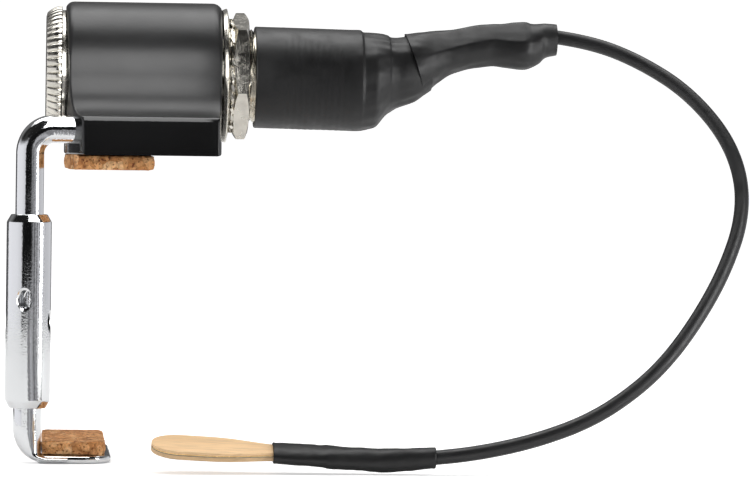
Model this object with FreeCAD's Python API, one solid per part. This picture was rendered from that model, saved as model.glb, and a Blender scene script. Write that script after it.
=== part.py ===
import FreeCAD, Part
import math
import os
from FreeCAD import Placement, Rotation
from FreeCAD import Vector as V

os.makedirs("parts", exist_ok=True)

# Clamp-on piezo pickup for a bowed instrument, in millimetres.
# The upper cork pad's underside is the plane Z = 0, which lies on the instrument's top plate.
# The jack's axis runs along X, with the plug's entry and the clamp's legs at the -X end.

# Pads and grip
upper_cork = 1.9
lower_cork = 1.8
grip = 33.7
foot_plate = 1.0

# Housing
housing_end_x = -5.4
housing_length = 19.8
jack_height = 10.1
dome_radius = 9.1
base_side = 4.8
base_half_width = 14.0
base_foot_half_width = 14.8
end_bow_radius = 52.0
front_edge_radius = 0.6
back_edge_radius = 1.2
nut_recess = 0.4
nut_recess_radius = 8.4

# Upper pad outline
upper_pad_length = 11.2
upper_pad_half_width = 13.0

# Legs
leg_x = -9.65
leg_y = 10.5
rod_radius = 1.75
rod_height = 3.1
rod_bend = 3.0
rod_socket = 10.0
shank_entry = 0.5
thread_core_radius = 1.62
thread_clearance = 0.18
upper_thread = 8.5
lower_thread = 9.3

# Turnbuckles
barrel_radius = 2.8
barrel_length = 24.05
barrel_drop = 5.6
barrel_chamfer_radial = 0.55
barrel_chamfer_axial = 0.95
cross_hole_radius = 0.85
cross_hole_sink = 1.65
upper_cross_hole = 10.5
lower_cross_hole = 13.3
near_barrel_turn = 10.4
far_barrel_turn = 35.0

# Foot
toe_radius = 4.3
foot_half_width = 12.2
foot_reach = 10.5
foot_heel = 0.6
foot_corner = 2.6
foot_edge = 0.4
lower_pad_length = 8.0
lower_pad_half_width = 11.3
lower_pad_corner = 1.6
lower_pad_clear = 0.1

# Jack
thread_radius = 5.95
plug_radius = 3.2
plug_bore = 12.0
mouth_recess = 0.2
mouth_chamfer = 0.5
jack_length = 37.6
barrel_bore_radius = 4.6
rear_seat = 3.0
barrel_rear_radius = 5.2
fit_gap = 0.02
jack_hole_gap = 0.1

# Knurled nut
knurl_nut_length = 2.8
knurl_length = 1.9
knurl_face_radius = 7.5
knurl_radius = 8.5
knurl_bulge = 0.12
knurl_depth = 0.22
knurl_count = 64
nut_collar_radius = 8.0

# Washers and back nut
washer_radius = 8.5
washer_flat_radius = 7.9
washer_rim_x = 0.55
washer_hub_radius = 6.9
washer_thickness = 1.05
tooth_ring_radius = 6.8
tooth_tip_radius = 7.2
tooth_width = 0.9
tooth_thickness = 0.35
tooth_twist = 20.0
tooth_count = 14
tooth_space = 0.7
hex_flats = 14.3
hex_length = 1.95
hex_turn = 14.0
hex_chamfer = 0.45
thread_show = 0.75

# Jack's inner pieces
insulator_length = 2.2
insulator_radius = 5.15
spring_width = 2.4
spring_thickness = 0.3
spring_height = 2.4
spring_clearance = 0.02
tag_thickness = 0.4
tag_inner_radius = 4.25
tail_reach = 3.0
solder_lap = 1.5

# Contact spring: points as (distance ahead of the rear seat, rise above its slot)
spring_bends = [(1.5, 1.3), (5.4, 1.3), (7.2, 0.1), (8.6, 0.9)]

# Shrink tubes: stations as (distance behind the barrel's end, rise above the jack's axis, radius)
shrink_wall = 0.45
large_shoulder = 2.6
large_stations = [
    (3.9, -0.3, 5.98),
    (4.7, 0.15, 5.45),
    (5.6, 0.5, 4.95),
    (7.1, 0.85, 4.45),
    (9.2, 1.25, 4.05),
    (11.0, 1.9, 3.4),
]
small_wall = 0.35
small_stations = [
    (6.6, 0.75, 4.95),
    (8.0, 1.05, 4.65),
    (10.0, 1.9, 4.05),
    (11.5, 2.6, 3.5),
    (13.3, 3.33, 2.9),
    (16.0, 4.04, 2.72),
    (18.6, 4.38, 2.67),
    (20.4, 4.33, 2.8),
    (22.7, 4.35, 3.03),
    (23.7, 4.35, 2.82),
    (24.7, 4.6, 2.55),
    (25.5, 5.0, 2.2),
    (26.9, 5.15, 2.0),
]
small_mouth_top = (7.6, 5.6)
small_mouth_low = (10.1, -2.1)
small_cavity_start = 8.5
small_cavity_end = 15.2

# Lead
lead_radius = 0.9
core_radius = 0.3
screen_radius = 0.4
strip_reach = 14.5
strip_rise = 3.6
exit_rise = 0.35
lead_way = [
    (61.4, -0.4, 16.9),
    (67.2, -2.4, 14.6),
    (72.8, -5.7, 10.95),
    (77.1, -9.8, 5.7),
    (78.95, -13.3, 0.3),
    (78.6, -16.4, -5.2),
    (76.3, -19.0, -11.0),
    (73.2, -21.3, -16.3),
    (69.3, -23.1, -21.6),
    (65.1, -24.2, -25.7),
    (59.3, -24.9, -29.6),
    (52.4, -25.1, -32.2),
    (45.6, -25.0, -33.75),
    (39.8, -24.9, -34.45),
    (34.6, -25.0, -34.75),
    (29.8, -25.1, -34.65),
]

# Pickup leaf: the shank leaves the sleeve at this point, tilted towards the front and up to its tip
leaf_root = (20.2, -25.0, -33.95)
leaf_roll = 13.5
leaf_pitch = 2.9
leaf_length = 14.8
leaf_half_width = 3.1
shank_half_width = 1.6
shank_length = 6.8
lower_wood = 0.53
film = 0.12
foil = 0.1
upper_wood = 0.35

# Element sleeve: stations as (distance behind the leaf's root, rise, half width, half thickness)
sleeve_stations = [
    (0.0, -0.02, 2.3, 1.12),
    (2.8, -0.17, 2.25, 1.15),
    (5.8, -0.35, 2.1, 1.2),
    (9.3, -0.6, 1.8, 1.35),
    (12.9, -0.83, 1.52, 1.45),
    (16.3, -0.7, 1.42, 1.4),
    (19.9, -0.45, 1.3, 1.3),
]
solder_radius = 0.42
solder_inset = 0.8
solder_offset = 0.75
wire_radius = 0.16

# Places that follow from the dimensions
base_z = upper_cork
jack_z = base_z + jack_height
side_z = base_z + base_side
housing_back_x = housing_end_x + housing_length
rod_z = base_z + rod_height
foot_top = -grip - lower_cork
foot_bottom = foot_top - foot_plate
barrel_top = -barrel_drop
barrel_bottom = barrel_top - barrel_length
nut_seat_x = housing_end_x + nut_recess
knurl_face_x = nut_seat_x - knurl_nut_length
mouth_x = knurl_face_x + mouth_recess
washer_back_x = housing_back_x + washer_thickness
hex_x = washer_back_x + tooth_space
lower_post_top = barrel_bottom + lower_thread
barrel_end_x = mouth_x + jack_length
barrel_seat_x = barrel_end_x - rear_seat
tail_x = barrel_end_x + tail_reach
large_shrink_x = hex_x + hex_length + thread_show
lead_strip = (barrel_end_x + strip_reach, 0.0, jack_z + strip_rise)
lead_exit = (barrel_end_x + small_stations[-1][0], 0.0, jack_z + small_stations[-1][1] + exit_rise)
lead_route = [lead_exit] + lead_way


def save(shape, node):
    """Write one piece and report its volume."""
    clean = shape.removeSplitter()
    print(f"{node:20s} {clean.ShapeType:9s} solids {len(clean.Solids)} "
          f"valid {clean.isValid()} volume {clean.Volume:9.3f}")
    clean.exportStep(f"parts/{node}.step")


def rod(start, end, radius):
    """A round bar between two points."""
    a = V(*start)
    b = V(*end)
    return Part.makeCylinder(radius, (b - a).Length, a, b - a)


def x_tube(radius, x0, x1):
    """A round bar on the jack's axis."""
    return rod((x0, 0, jack_z), (x1, 0, jack_z), radius)


def x_turned(points):
    """A body turned about the jack's axis from (x, radius) corners."""
    corners = [V(x, 0, jack_z + r) for x, r in points]
    face = Part.Face(Part.makePolygon(corners + corners[:1]))
    return face.revolve(V(0, 0, jack_z), V(1, 0, 0), 360)


def arc(a, b, c):
    return Part.Arc(V(*a), V(*b), V(*c)).toShape()


def line(a, b):
    return Part.LineSegment(V(*a), V(*b)).toShape()


def bow(y):
    """How far the convex outer end falls back at a distance from its crown."""
    return end_bow_radius - math.sqrt(end_bow_radius ** 2 - y ** 2)


def bowed_plan(half_width, x1, z0, z1):
    """A plate with the housing's convex outer end and a square back."""
    x0 = housing_end_x
    side_x = x0 + bow(half_width)
    edges = [
        arc((side_x, -half_width, z0), (x0, 0, z0), (side_x, half_width, z0)),
        line((side_x, half_width, z0), (x1, half_width, z0)),
        line((x1, half_width, z0), (x1, -half_width, z0)),
        line((x1, -half_width, z0), (side_x, -half_width, z0)),
    ]
    return Part.Face(Part.Wire(edges)).extrude(V(0, 0, z1 - z0))


def housing_section():
    """The end view: a round top over the jack, flanks that flare out, and a wide base."""
    x = housing_end_x
    reach = base_half_width - dome_radius
    fall = jack_z - side_z
    flare = (reach ** 2 + fall ** 2) / (2 * reach)
    centre_y = dome_radius + flare
    low = math.atan2(-fall, base_half_width - centre_y)
    turn = (low - math.pi) % (2 * math.pi)
    mid = math.pi + turn / 2
    flank_y = centre_y + flare * math.cos(mid)
    flank_z = jack_z + flare * math.sin(mid)
    edges = [
        line((x, -base_foot_half_width, base_z), (x, base_foot_half_width, base_z)),
        line((x, base_foot_half_width, base_z), (x, base_half_width, side_z)),
        arc((x, base_half_width, side_z), (x, flank_y, flank_z), (x, dome_radius, jack_z)),
        arc((x, dome_radius, jack_z), (x, 0, jack_z + dome_radius), (x, -dome_radius, jack_z)),
        arc((x, -dome_radius, jack_z), (x, -flank_y, flank_z), (x, -base_half_width, side_z)),
        line((x, -base_half_width, side_z), (x, -base_foot_half_width, base_z)),
    ]
    return Part.Face(Part.Wire(edges))


def upper_edges(shape, x_low, x_high):
    """Edges above the base's side whose middle lies between two x values."""
    found = []
    for edge in shape.Edges:
        middle = edge.CenterOfMass
        if x_low < middle.x < x_high and middle.z > side_z + 0.2:
            found.append(edge)
    return found


def housing():
    body = housing_section().extrude(V(housing_length, 0, 0))
    plan = bowed_plan(base_foot_half_width + 1, housing_back_x, base_z - 1, jack_z + dome_radius + 1)
    body = body.common(plan)
    back = upper_edges(body, housing_back_x - 0.1, housing_back_x + 0.1)
    body = body.makeFillet(back_edge_radius, back)
    front = upper_edges(body, housing_end_x - 0.1, housing_end_x + bow(base_half_width))
    body = body.makeFillet(front_edge_radius, front)
    body = body.cut(x_tube(thread_radius + jack_hole_gap, housing_end_x - 1, housing_back_x + 1))
    body = body.cut(x_tube(nut_recess_radius, housing_end_x - 1, nut_seat_x))
    for y in (-leg_y, leg_y):
        body = body.cut(rod((housing_end_x - 1, y, rod_z), (rod_end_x(), y, rod_z), rod_radius))
    return body


def rod_end_x():
    return housing_end_x + rod_socket


def upper_cork_pad():
    return bowed_plan(upper_pad_half_width, housing_end_x + upper_pad_length, 0, upper_cork)


def upper_post(y):
    """One bent rod from the housing's end down into its turnbuckle."""
    shank_low = barrel_top - shank_entry
    knee = rod_z - rod_bend
    mid_x = leg_x + rod_bend * (1 - math.cos(math.pi / 4))
    mid_z = knee + rod_bend * math.sin(math.pi / 4)
    path = Part.Wire([
        line((leg_x, y, shank_low), (leg_x, y, knee)),
        arc((leg_x, y, knee), (mid_x, y, mid_z), (leg_x + rod_bend, y, rod_z)),
        line((leg_x + rod_bend, y, rod_z), (rod_end_x(), y, rod_z)),
    ])
    ring = Part.Wire(Part.Circle(V(leg_x, y, shank_low), V(0, 0, 1), rod_radius).toShape())
    post = path.makePipeShell([ring], True, False)
    thread = rod((leg_x, y, barrel_top - upper_thread), (leg_x, y, shank_low), thread_core_radius)
    return post.fuse(thread)


def turnbuckle(y, turn):
    """A chamfered barrel, bored for the posts, with two cross holes at right angles."""
    slope = barrel_radius - barrel_chamfer_radial
    bore = thread_core_radius + thread_clearance
    corners = [
        (bore, barrel_bottom),
        (slope, barrel_bottom),
        (barrel_radius, barrel_bottom + barrel_chamfer_axial),
        (barrel_radius, barrel_top - barrel_chamfer_axial),
        (slope, barrel_top),
        (bore, barrel_top),
    ]
    points = [V(leg_x + r, y, z) for r, z in corners]
    face = Part.Face(Part.makePolygon(points + points[:1]))
    barrel = face.revolve(V(leg_x, y, 0), V(0, 0, 1), 360)
    barrel = barrel.cut(cross_hole(y, barrel_top - upper_cross_hole, 270 - turn))
    return barrel.cut(cross_hole(y, barrel_top - lower_cross_hole, 360 - turn))


def cross_hole(y, z, angle):
    """A through hole across a turnbuckle, countersunk at both mouths."""
    way = V(math.cos(math.radians(angle)), math.sin(math.radians(angle)), 0)
    centre = V(leg_x, y, z)
    hole = Part.makeCylinder(cross_hole_radius, 4 * barrel_radius, centre - way * 2 * barrel_radius, way)
    depth = cross_hole_sink - cross_hole_radius
    for side in (way, way * -1):
        mouth = centre + side * (barrel_radius - depth)
        hole = hole.fuse(Part.makeCone(cross_hole_radius, cross_hole_sink + depth, 2 * depth, mouth, side))
    return hole


def lower_post(y):
    """One lower post: thread, shank and the rounded toe that runs into the foot plate."""
    shank_top = barrel_bottom + shank_entry
    thread = rod((leg_x, y, shank_top), (leg_x, y, lower_post_top), thread_core_radius)
    shank = rod((leg_x, y, foot_bottom), (leg_x, y, shank_top), rod_radius)
    left = leg_x - rod_radius
    right = leg_x + rod_radius
    centre_x = left + toe_radius
    centre_z = foot_bottom + toe_radius
    diagonal = toe_radius * math.sin(math.pi / 4)
    y0 = y - rod_radius
    toe = Part.Face(Part.Wire([
        line((left, y0, shank_top), (left, y0, centre_z)),
        arc((left, y0, centre_z), (centre_x - diagonal, y0, centre_z - diagonal), (centre_x, y0, foot_bottom)),
        line((centre_x, y0, foot_bottom), (right, y0, foot_bottom)),
        line((right, y0, foot_bottom), (right, y0, shank_top)),
        line((right, y0, shank_top), (left, y0, shank_top)),
    ])).extrude(V(0, 2 * rod_radius, 0))
    return shank.common(toe).fuse(thread)


def foot_plate_solid():
    """The flat foot with round front corners and eased edges."""
    x0 = leg_x - foot_heel
    x1 = leg_x + foot_reach
    plate = Part.makeBox(x1 - x0, 2 * foot_half_width, foot_plate, V(x0, -foot_half_width, foot_bottom))
    corners = [e for e in plate.Edges if abs(e.CenterOfMass.x - x1) < 1e-6 and e.Length < 2 * foot_plate]
    plate = plate.makeFillet(foot_corner, corners)
    rim = [e for e in plate.Edges
           if abs(e.CenterOfMass.z - foot_bottom - foot_plate / 2) > foot_plate / 3]
    return plate.makeFillet(foot_edge, rim)


def foot_bracket():
    plate = foot_plate_solid()
    return plate.fuse([lower_post(-leg_y), lower_post(leg_y)])


def lower_cork_pad():
    x0 = leg_x + rod_radius + lower_pad_clear
    x1 = x0 + lower_pad_length
    pad = Part.makeBox(x1 - x0, 2 * lower_pad_half_width, lower_cork, V(x0, -lower_pad_half_width, foot_top))
    corners = [e for e in pad.Edges if abs(e.CenterOfMass.x - x1) < 1e-6 and e.Length < 2 * lower_cork]
    return pad.makeFillet(lower_pad_corner, corners)


def jack_barrel():
    """The jack's long threaded sleeve: plug bore, contact room and the rear seat."""
    step_x = mouth_x + plug_bore
    return x_turned([
        (mouth_x, plug_radius + mouth_chamfer),
        (mouth_x, thread_radius),
        (barrel_end_x, thread_radius),
        (barrel_end_x, barrel_rear_radius),
        (barrel_seat_x, barrel_rear_radius),
        (barrel_seat_x, barrel_bore_radius),
        (step_x, barrel_bore_radius),
        (step_x, plug_radius),
        (mouth_x + mouth_chamfer, plug_radius),
    ])


def knurled_nut():
    """A round nut with a crowned, ribbed rim and a plain collar behind it."""
    bore = thread_radius + fit_gap
    rim_x = knurl_face_x + knurl_length
    mid = (knurl_face_radius + knurl_radius) / 2 + knurl_bulge

    def at(x, r):
        return (x, 0, jack_z + r)

    crown = Part.Face(Part.Wire([
        line(at(knurl_face_x, bore), at(knurl_face_x, knurl_face_radius)),
        arc(at(knurl_face_x, knurl_face_radius), at((knurl_face_x + rim_x) / 2, mid), at(rim_x, knurl_radius)),
        line(at(rim_x, knurl_radius), at(rim_x, bore)),
        line(at(rim_x, bore), at(knurl_face_x, bore)),
    ])).revolve(V(0, 0, jack_z), V(1, 0, 0), 360)
    ribs = []
    for i in range(2 * knurl_count):
        r = knurl_radius if i % 2 else knurl_radius - knurl_depth
        a = math.pi * i / knurl_count
        ribs.append(V(knurl_face_x - 0.01, r * math.cos(a), jack_z + r * math.sin(a)))
    star = Part.Face(Part.makePolygon(ribs + ribs[:1])).extrude(V(knurl_length + 0.02, 0, 0))
    collar = x_tube(nut_collar_radius, rim_x, nut_seat_x).cut(x_tube(bore, rim_x - 1, nut_seat_x + 1))
    return crown.common(star).fuse(collar)


def flat_washer():
    x = housing_back_x
    bore = thread_radius + jack_hole_gap
    return x_turned([
        (x, bore),
        (x, washer_flat_radius),
        (x + washer_rim_x, washer_radius),
        (washer_back_x, washer_hub_radius),
        (washer_back_x, bore),
    ])


def lock_washer():
    """A spring ring with twisted teeth round its outside."""
    middle = washer_back_x + tooth_space / 2
    half = tooth_thickness / 2
    bore = thread_radius + jack_hole_gap
    ring = x_tube(tooth_ring_radius, middle - half, middle + half)
    ring = ring.cut(x_tube(bore, middle - 1, middle + 1))
    tooth_length = tooth_tip_radius - tooth_ring_radius + 0.3
    teeth = []
    for i in range(tooth_count):
        tooth = Part.makeBox(tooth_thickness, tooth_width, tooth_length,
                             V(-half, -tooth_width / 2, tooth_tip_radius - tooth_length))
        tooth.rotate(V(0, 0, 0), V(0, 0, 1), tooth_twist)
        tooth.rotate(V(0, 0, 0), V(1, 0, 0), 360 * i / tooth_count)
        tooth.translate(V(middle, 0, jack_z))
        teeth.append(tooth)
    return ring.fuse(teeth)


def hex_nut():
    """The back nut, with the corners turned off at both faces."""
    corner = hex_flats / 2 / math.cos(math.pi / 6)
    points = []
    for i in range(6):
        a = math.radians(90 + hex_turn + 60 * i)
        points.append(V(hex_x, corner * math.cos(a), jack_z + corner * math.sin(a)))
    prism = Part.Face(Part.makePolygon(points + points[:1])).extrude(V(hex_length, 0, 0))
    bore = thread_radius + fit_gap
    face = hex_flats / 2
    turned = x_turned([
        (hex_x, bore),
        (hex_x, face),
        (hex_x + hex_chamfer, corner),
        (hex_x + hex_length - hex_chamfer, corner),
        (hex_x + hex_length, face),
        (hex_x + hex_length, bore),
    ])
    return prism.common(turned)


def contact_spring():
    """The tip contact: a bent leaf that runs back through the insulator to its solder tail."""
    t = spring_thickness
    z = jack_z + spring_height
    outline = [(tail_x, z), (barrel_seat_x, z)]
    outline += [(barrel_seat_x - ahead, z + rise) for ahead, rise in spring_bends]
    upper = [V(x, -spring_width / 2, h + t) for x, h in reversed(outline)]
    lower = [V(x, -spring_width / 2, h) for x, h in outline]
    face = Part.Face(Part.makePolygon(lower + upper + lower[:1]))
    return face.extrude(V(0, spring_width, 0))


def rear_insulator():
    gap = spring_clearance
    disc = x_tube(insulator_radius, barrel_seat_x, barrel_seat_x + insulator_length)
    corner = V(barrel_seat_x - insulator_length, -spring_width / 2 - gap, jack_z + spring_height - gap)
    slot = Part.makeBox(3 * insulator_length, spring_width + 2 * gap, spring_thickness + 2 * gap, corner)
    return disc.cut(slot)


def tag_x():
    return barrel_seat_x + insulator_length


def tag_low():
    return jack_z - tag_inner_radius - tag_thickness


def ground_tag():
    """A ring tag on the barrel's rear seat, with a tail that the lead's screen is soldered to."""
    x = tag_x()
    ring = x_tube(insulator_radius, x, x + tag_thickness).cut(x_tube(tag_inner_radius, x - 1, x + 1))
    tail = Part.makeBox(tail_x - x, spring_width, tag_thickness, V(x, -spring_width / 2, tag_low()))
    return ring.fuse(tail)


def round_section(x, z, radius):
    return Part.Wire(Part.Circle(V(x, 0, z), V(1, 0, 0), radius).toShape())


def behind_barrel(stations):
    """Stations in the object's own frame."""
    return [(barrel_end_x + x, jack_z + z, *rest) for x, z, *rest in stations]


def tail_body(shrink):
    """The large tube's outer form, made smaller all over by an amount."""
    outer = thread_radius + fit_gap + shrink_wall
    shoulder_x = barrel_end_x + large_shoulder
    straight = x_tube(outer - shrink, large_shrink_x, shoulder_x)
    stations = [(shoulder_x, jack_z, outer)] + behind_barrel(large_stations)
    loft = Part.makeLoft([round_section(x, z, r - shrink) for x, z, r in stations], True, False)
    return straight.fuse(loft)


def large_shrink_tube():
    return tail_body(0).cut(tail_body(shrink_wall))


def small_shrink_tube():
    """The second tube: cut at a slant over the first one's mouth, lumpy, and closed on the lead."""
    stations = behind_barrel(small_stations)
    outer = Part.makeLoft([round_section(*s) for s in stations], True, False)
    outer = outer.cut([ahead_of_mouth(), tail_body(0)])
    room = behind_barrel([s for s in small_stations if small_cavity_start < s[0] < small_cavity_end])
    room.append((barrel_end_x + small_cavity_end, *interpolated(stations, barrel_end_x + small_cavity_end)))
    wires = [round_section(x, z, r - small_wall) for x, z, r in room]
    outer = outer.cut(Part.makeLoft(wires, True, True))
    return outer.cut([rod(lead_strip, lead_exit, lead_radius), lead_first_run(lead_radius)])


def ahead_of_mouth():
    """A block that holds everything ahead of the small tube's slanted mouth."""
    (top_x, top_z), (low_x, low_z) = behind_barrel([small_mouth_top, small_mouth_low])
    way = V(top_x - low_x, 0, top_z - low_z).normalize()
    wide = 4 * thread_radius
    start = V(low_x, -wide / 2, low_z) - way * wide
    end = start + way * 2 * wide
    ahead = V(wide, 0, 0)
    outline = Part.makePolygon([start, end, end - ahead, start - ahead, start])
    return Part.Face(outline).extrude(V(0, wide, 0))


def interpolated(stations, x):
    """Centre height and radius between two stations."""
    for (x0, *low), (x1, *high) in zip(stations, stations[1:]):
        if x0 <= x <= x1:
            t = (x - x0) / (x1 - x0)
            return [a + (b - a) * t for a, b in zip(low, high)]


def lead_core():
    """The stripped core, from the contact's tail to the lead's cut end."""
    height = jack_z + spring_height + spring_thickness + core_radius + fit_gap
    return rod((tail_x - solder_lap, 0, height), lead_strip, core_radius).cut(lead_inner_run())


def lead_screen():
    """The gathered screen, from the ground tag's tail to the lead's cut end."""
    start = (tail_x - solder_lap, 0, tag_low() + tag_thickness + screen_radius + fit_gap)
    end = (lead_strip[0], 0, lead_strip[2] - core_radius - screen_radius - 2 * fit_gap)
    return rod(start, end, screen_radius).cut(lead_inner_run())


def lead_inner_run():
    """The lead's own length inside the small tube."""
    return rod(lead_strip, lead_exit, lead_radius).cut(lead_first_run(1.5 * lead_radius))


def lead_first_run(radius):
    return rod(lead_exit, lead_way[0], radius)


def lead_path(points):
    """Straight runs joined by tangent arcs, each as large as its two runs allow."""
    corners = [V(*p) for p in points]
    edges = []
    last = corners[0]
    radii = []
    for a, b, c in zip(corners, corners[1:], corners[2:]):
        back = (a - b)
        ahead = (c - b)
        reach = 0.45 * min(back.Length, ahead.Length)
        back.normalize()
        ahead.normalize()
        half_turn = (math.pi - back.getAngle(ahead)) / 2
        radius = reach / math.tan(half_turn)
        radii.append(radius)
        middle_way = (back + ahead).normalize()
        to_middle = radius / math.cos(half_turn) - radius
        enter = b + back * reach
        leave = b + ahead * reach
        edges.append(Part.LineSegment(last, enter).toShape())
        edges.append(Part.Arc(enter, b + middle_way * to_middle, leave).toShape())
        last = leave
    edges.append(Part.LineSegment(last, corners[-1]).toShape())
    return Part.Wire(edges), radii


def lead():
    path, radii = lead_path(lead_route)
    way = (V(*lead_route[1]) - V(*lead_route[0])).normalize()
    ring = Part.Wire(Part.Circle(V(*lead_route[0]), way, lead_radius).toShape())
    tube = path.makePipeShell([ring], True, False)
    ideal = math.pi * lead_radius ** 2 * path.Length
    print("lead length", round(path.Length, 2), "radii", [round(r, 1) for r in radii])
    print("lead volume", round(tube.Volume, 2), "section times length", round(ideal, 2))
    return tube


def leaf_placement():
    tilt = Rotation(V(0, 1, 0), leaf_pitch).multiply(Rotation(V(1, 0, 0), leaf_roll))
    return Placement(V(*leaf_root), tilt)


def leaf_outline(z):
    """The leaf's plan: a rounded paddle that narrows to a straight shank."""
    wide = leaf_half_width
    slim = shank_half_width
    tip = -leaf_length
    side = [
        (0.07 * tip, slim + 0.1 * (wide - slim)), (0.22 * tip, slim + 0.45 * (wide - slim)),
        (0.4 * tip, slim + 0.86 * (wide - slim)), (0.56 * tip, wide), (0.74 * tip, 0.93 * wide),
        (0.9 * tip, 0.62 * wide), (tip, 0.0),
    ]
    near = Part.BSplineCurve()
    near.interpolate([V(x, -y, z) for x, y in side], InitialTangent=V(-1, -0.12, 0), FinalTangent=V(0, 1, 0))
    far = Part.BSplineCurve()
    far.interpolate([V(x, y, z) for x, y in side], InitialTangent=V(-1, 0.12, 0), FinalTangent=V(0, -1, 0))
    x0, y0 = side[0]
    x1 = shank_length
    return Part.Wire([
        near.toShape(),
        far.toShape(),
        line((x0, y0, z), (x1, slim, z)),
        line((x1, slim, z), (x1, -slim, z)),
        line((x1, -slim, z), (x0, -y0, z)),
    ])


def leaf_layer(low, thickness):
    layer = Part.Face(leaf_outline(low)).extrude(V(0, 0, thickness))
    layer.Placement = leaf_placement()
    return layer


def leaf_bottom():
    return -(lower_wood + film + foil + upper_wood) / 2


def leaf_top():
    return -leaf_bottom()


def oval_section(x, z, half_width, half_thickness):
    """An oval across the sleeve, tilted with the leaf."""
    ring = Part.Wire(Part.Ellipse(V(0, 0, 0), max(half_width, half_thickness + 0.001), half_thickness).toShape())
    turn = Rotation(V(1, 0, 0), leaf_roll).multiply(Rotation(V(0, 1, 0), V(0, 0, 1), V(1, 0, 0)))
    ring.Placement = Placement(V(x, leaf_root[1], z), turn)
    return ring


def element_sleeve(inside):
    """Heat-shrink pressed over the leaf's shank, the solder joints and the lead's end."""
    x0, _, z0 = leaf_root
    stations = [(x0 + x, z0 + z, w, t) for x, z, w, t in sleeve_stations]
    return Part.makeLoft([oval_section(*s) for s in stations], True, False).cut(inside)


def solder_x():
    return shank_length - solder_inset


def solder_joints():
    """Two solder domes on the shank, one for the core and one for the screen."""
    domes = []
    for y in (-solder_offset, solder_offset):
        dome = Part.makeSphere(solder_radius, V(solder_x(), y, leaf_top()), V(0, 0, 1), 0, 90, 360)
        dome.Placement = leaf_placement().multiply(dome.Placement)
        domes.append(dome)
    return Part.makeCompound(domes)


def lead_end_wires(lead_shape):
    """The lead's core and screen, from its cut end to the two solder joints."""
    place = leaf_placement()
    start = V(*lead_route[-1])
    wires = []
    for y in (-solder_offset, solder_offset):
        reach = solder_x() + solder_radius + wire_radius / 2
        joint = place.multVec(V(reach, y, leaf_top() + 1.6 * wire_radius))
        origin = start + V(wire_radius, y / 2, lead_radius / 2)
        wires.append(rod(origin, joint, wire_radius).cut(lead_shape))
    return Part.makeCompound(wires)


def main():
    lead_shape = lead()
    save(housing(), "housing")
    save(upper_cork_pad(), "upper_cork_pad")
    save(upper_post(-leg_y), "near_upper_post")
    save(upper_post(leg_y), "far_upper_post")
    save(turnbuckle(-leg_y, near_barrel_turn), "near_turnbuckle")
    save(turnbuckle(leg_y, far_barrel_turn), "far_turnbuckle")
    save(foot_bracket(), "foot_bracket")
    save(lower_cork_pad(), "lower_cork_pad")
    save(jack_barrel(), "jack_barrel")
    save(knurled_nut(), "knurled_nut")
    save(flat_washer(), "flat_washer")
    save(lock_washer(), "lock_washer")
    save(hex_nut(), "hex_nut")
    save(rear_insulator(), "rear_insulator")
    save(contact_spring(), "contact_spring")
    save(ground_tag(), "ground_tag")
    save(large_shrink_tube(), "large_shrink_tube")
    save(small_shrink_tube(), "small_shrink_tube")
    save(lead_core(), "lead_core")
    save(lead_screen(), "lead_screen")
    save(lead_inner_run(), "lead_inner_run")
    save(lead_shape, "lead")
    bottom = leaf_bottom()
    layers = {
        "lower_wood_leaf": leaf_layer(bottom, lower_wood),
        "piezo_film": leaf_layer(bottom + lower_wood, film),
        "copper_foil": leaf_layer(bottom + lower_wood + film, foil),
        "upper_wood_leaf": leaf_layer(bottom + lower_wood + film + foil, upper_wood),
    }
    wires = lead_end_wires(lead_shape)
    joints = solder_joints()
    save(element_sleeve(list(layers.values()) + [joints, wires, lead_shape]), "element_sleeve")
    for node, shape in layers.items():
        save(shape, node)
    save(joints, "solder_joints")
    save(wires, "lead_end_wires")


main()
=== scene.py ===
import math

import bmesh
import bpy
from mathutils import Matrix, Vector, noise


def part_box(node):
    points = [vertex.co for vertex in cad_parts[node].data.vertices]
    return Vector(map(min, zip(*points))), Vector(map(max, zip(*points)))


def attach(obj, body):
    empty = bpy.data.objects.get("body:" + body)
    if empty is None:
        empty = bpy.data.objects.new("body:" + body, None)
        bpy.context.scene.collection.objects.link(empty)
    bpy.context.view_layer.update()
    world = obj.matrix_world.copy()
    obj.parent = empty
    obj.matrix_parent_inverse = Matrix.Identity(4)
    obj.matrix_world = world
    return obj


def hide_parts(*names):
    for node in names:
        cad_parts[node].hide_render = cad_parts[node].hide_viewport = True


bl_info = {
    "name": "Clamp-on Piezo Pickup",
    "version": (1, 0, 0),
    "blender": (4, 5, 0),
    "location": "View3D > Sidebar > Pickup",
    "description": "Builds the visible pieces of a clamp-on piezo pickup around its frame",
    "category": "Object",
}

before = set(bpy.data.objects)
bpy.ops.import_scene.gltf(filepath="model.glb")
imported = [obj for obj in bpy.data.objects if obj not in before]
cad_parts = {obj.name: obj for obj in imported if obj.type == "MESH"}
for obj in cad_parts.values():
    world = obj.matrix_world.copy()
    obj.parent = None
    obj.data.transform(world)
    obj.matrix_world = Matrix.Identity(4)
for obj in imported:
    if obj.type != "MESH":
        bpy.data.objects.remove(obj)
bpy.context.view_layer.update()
MM = 0.001

# Places that the frame gives
BARREL_LOW, BARREL_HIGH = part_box("jack_barrel")
JACK_Z = (BARREL_LOW.z + BARREL_HIGH.z) / 2
THREAD_RADIUS = (BARREL_HIGH.z - BARREL_LOW.z) / 2
FOOT_LOW, FOOT_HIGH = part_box("foot_bracket")
FLOOR_Z = FOOT_LOW.z


def middle(node):
    """The middle of a frame node's box."""
    low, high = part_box(node)
    return (low + high) / 2


LEG_X = middle("near_turnbuckle").x
NEAR_LEG_Y = middle("near_turnbuckle").y
FAR_LEG_Y = middle("far_turnbuckle").y


# Settings

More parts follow.
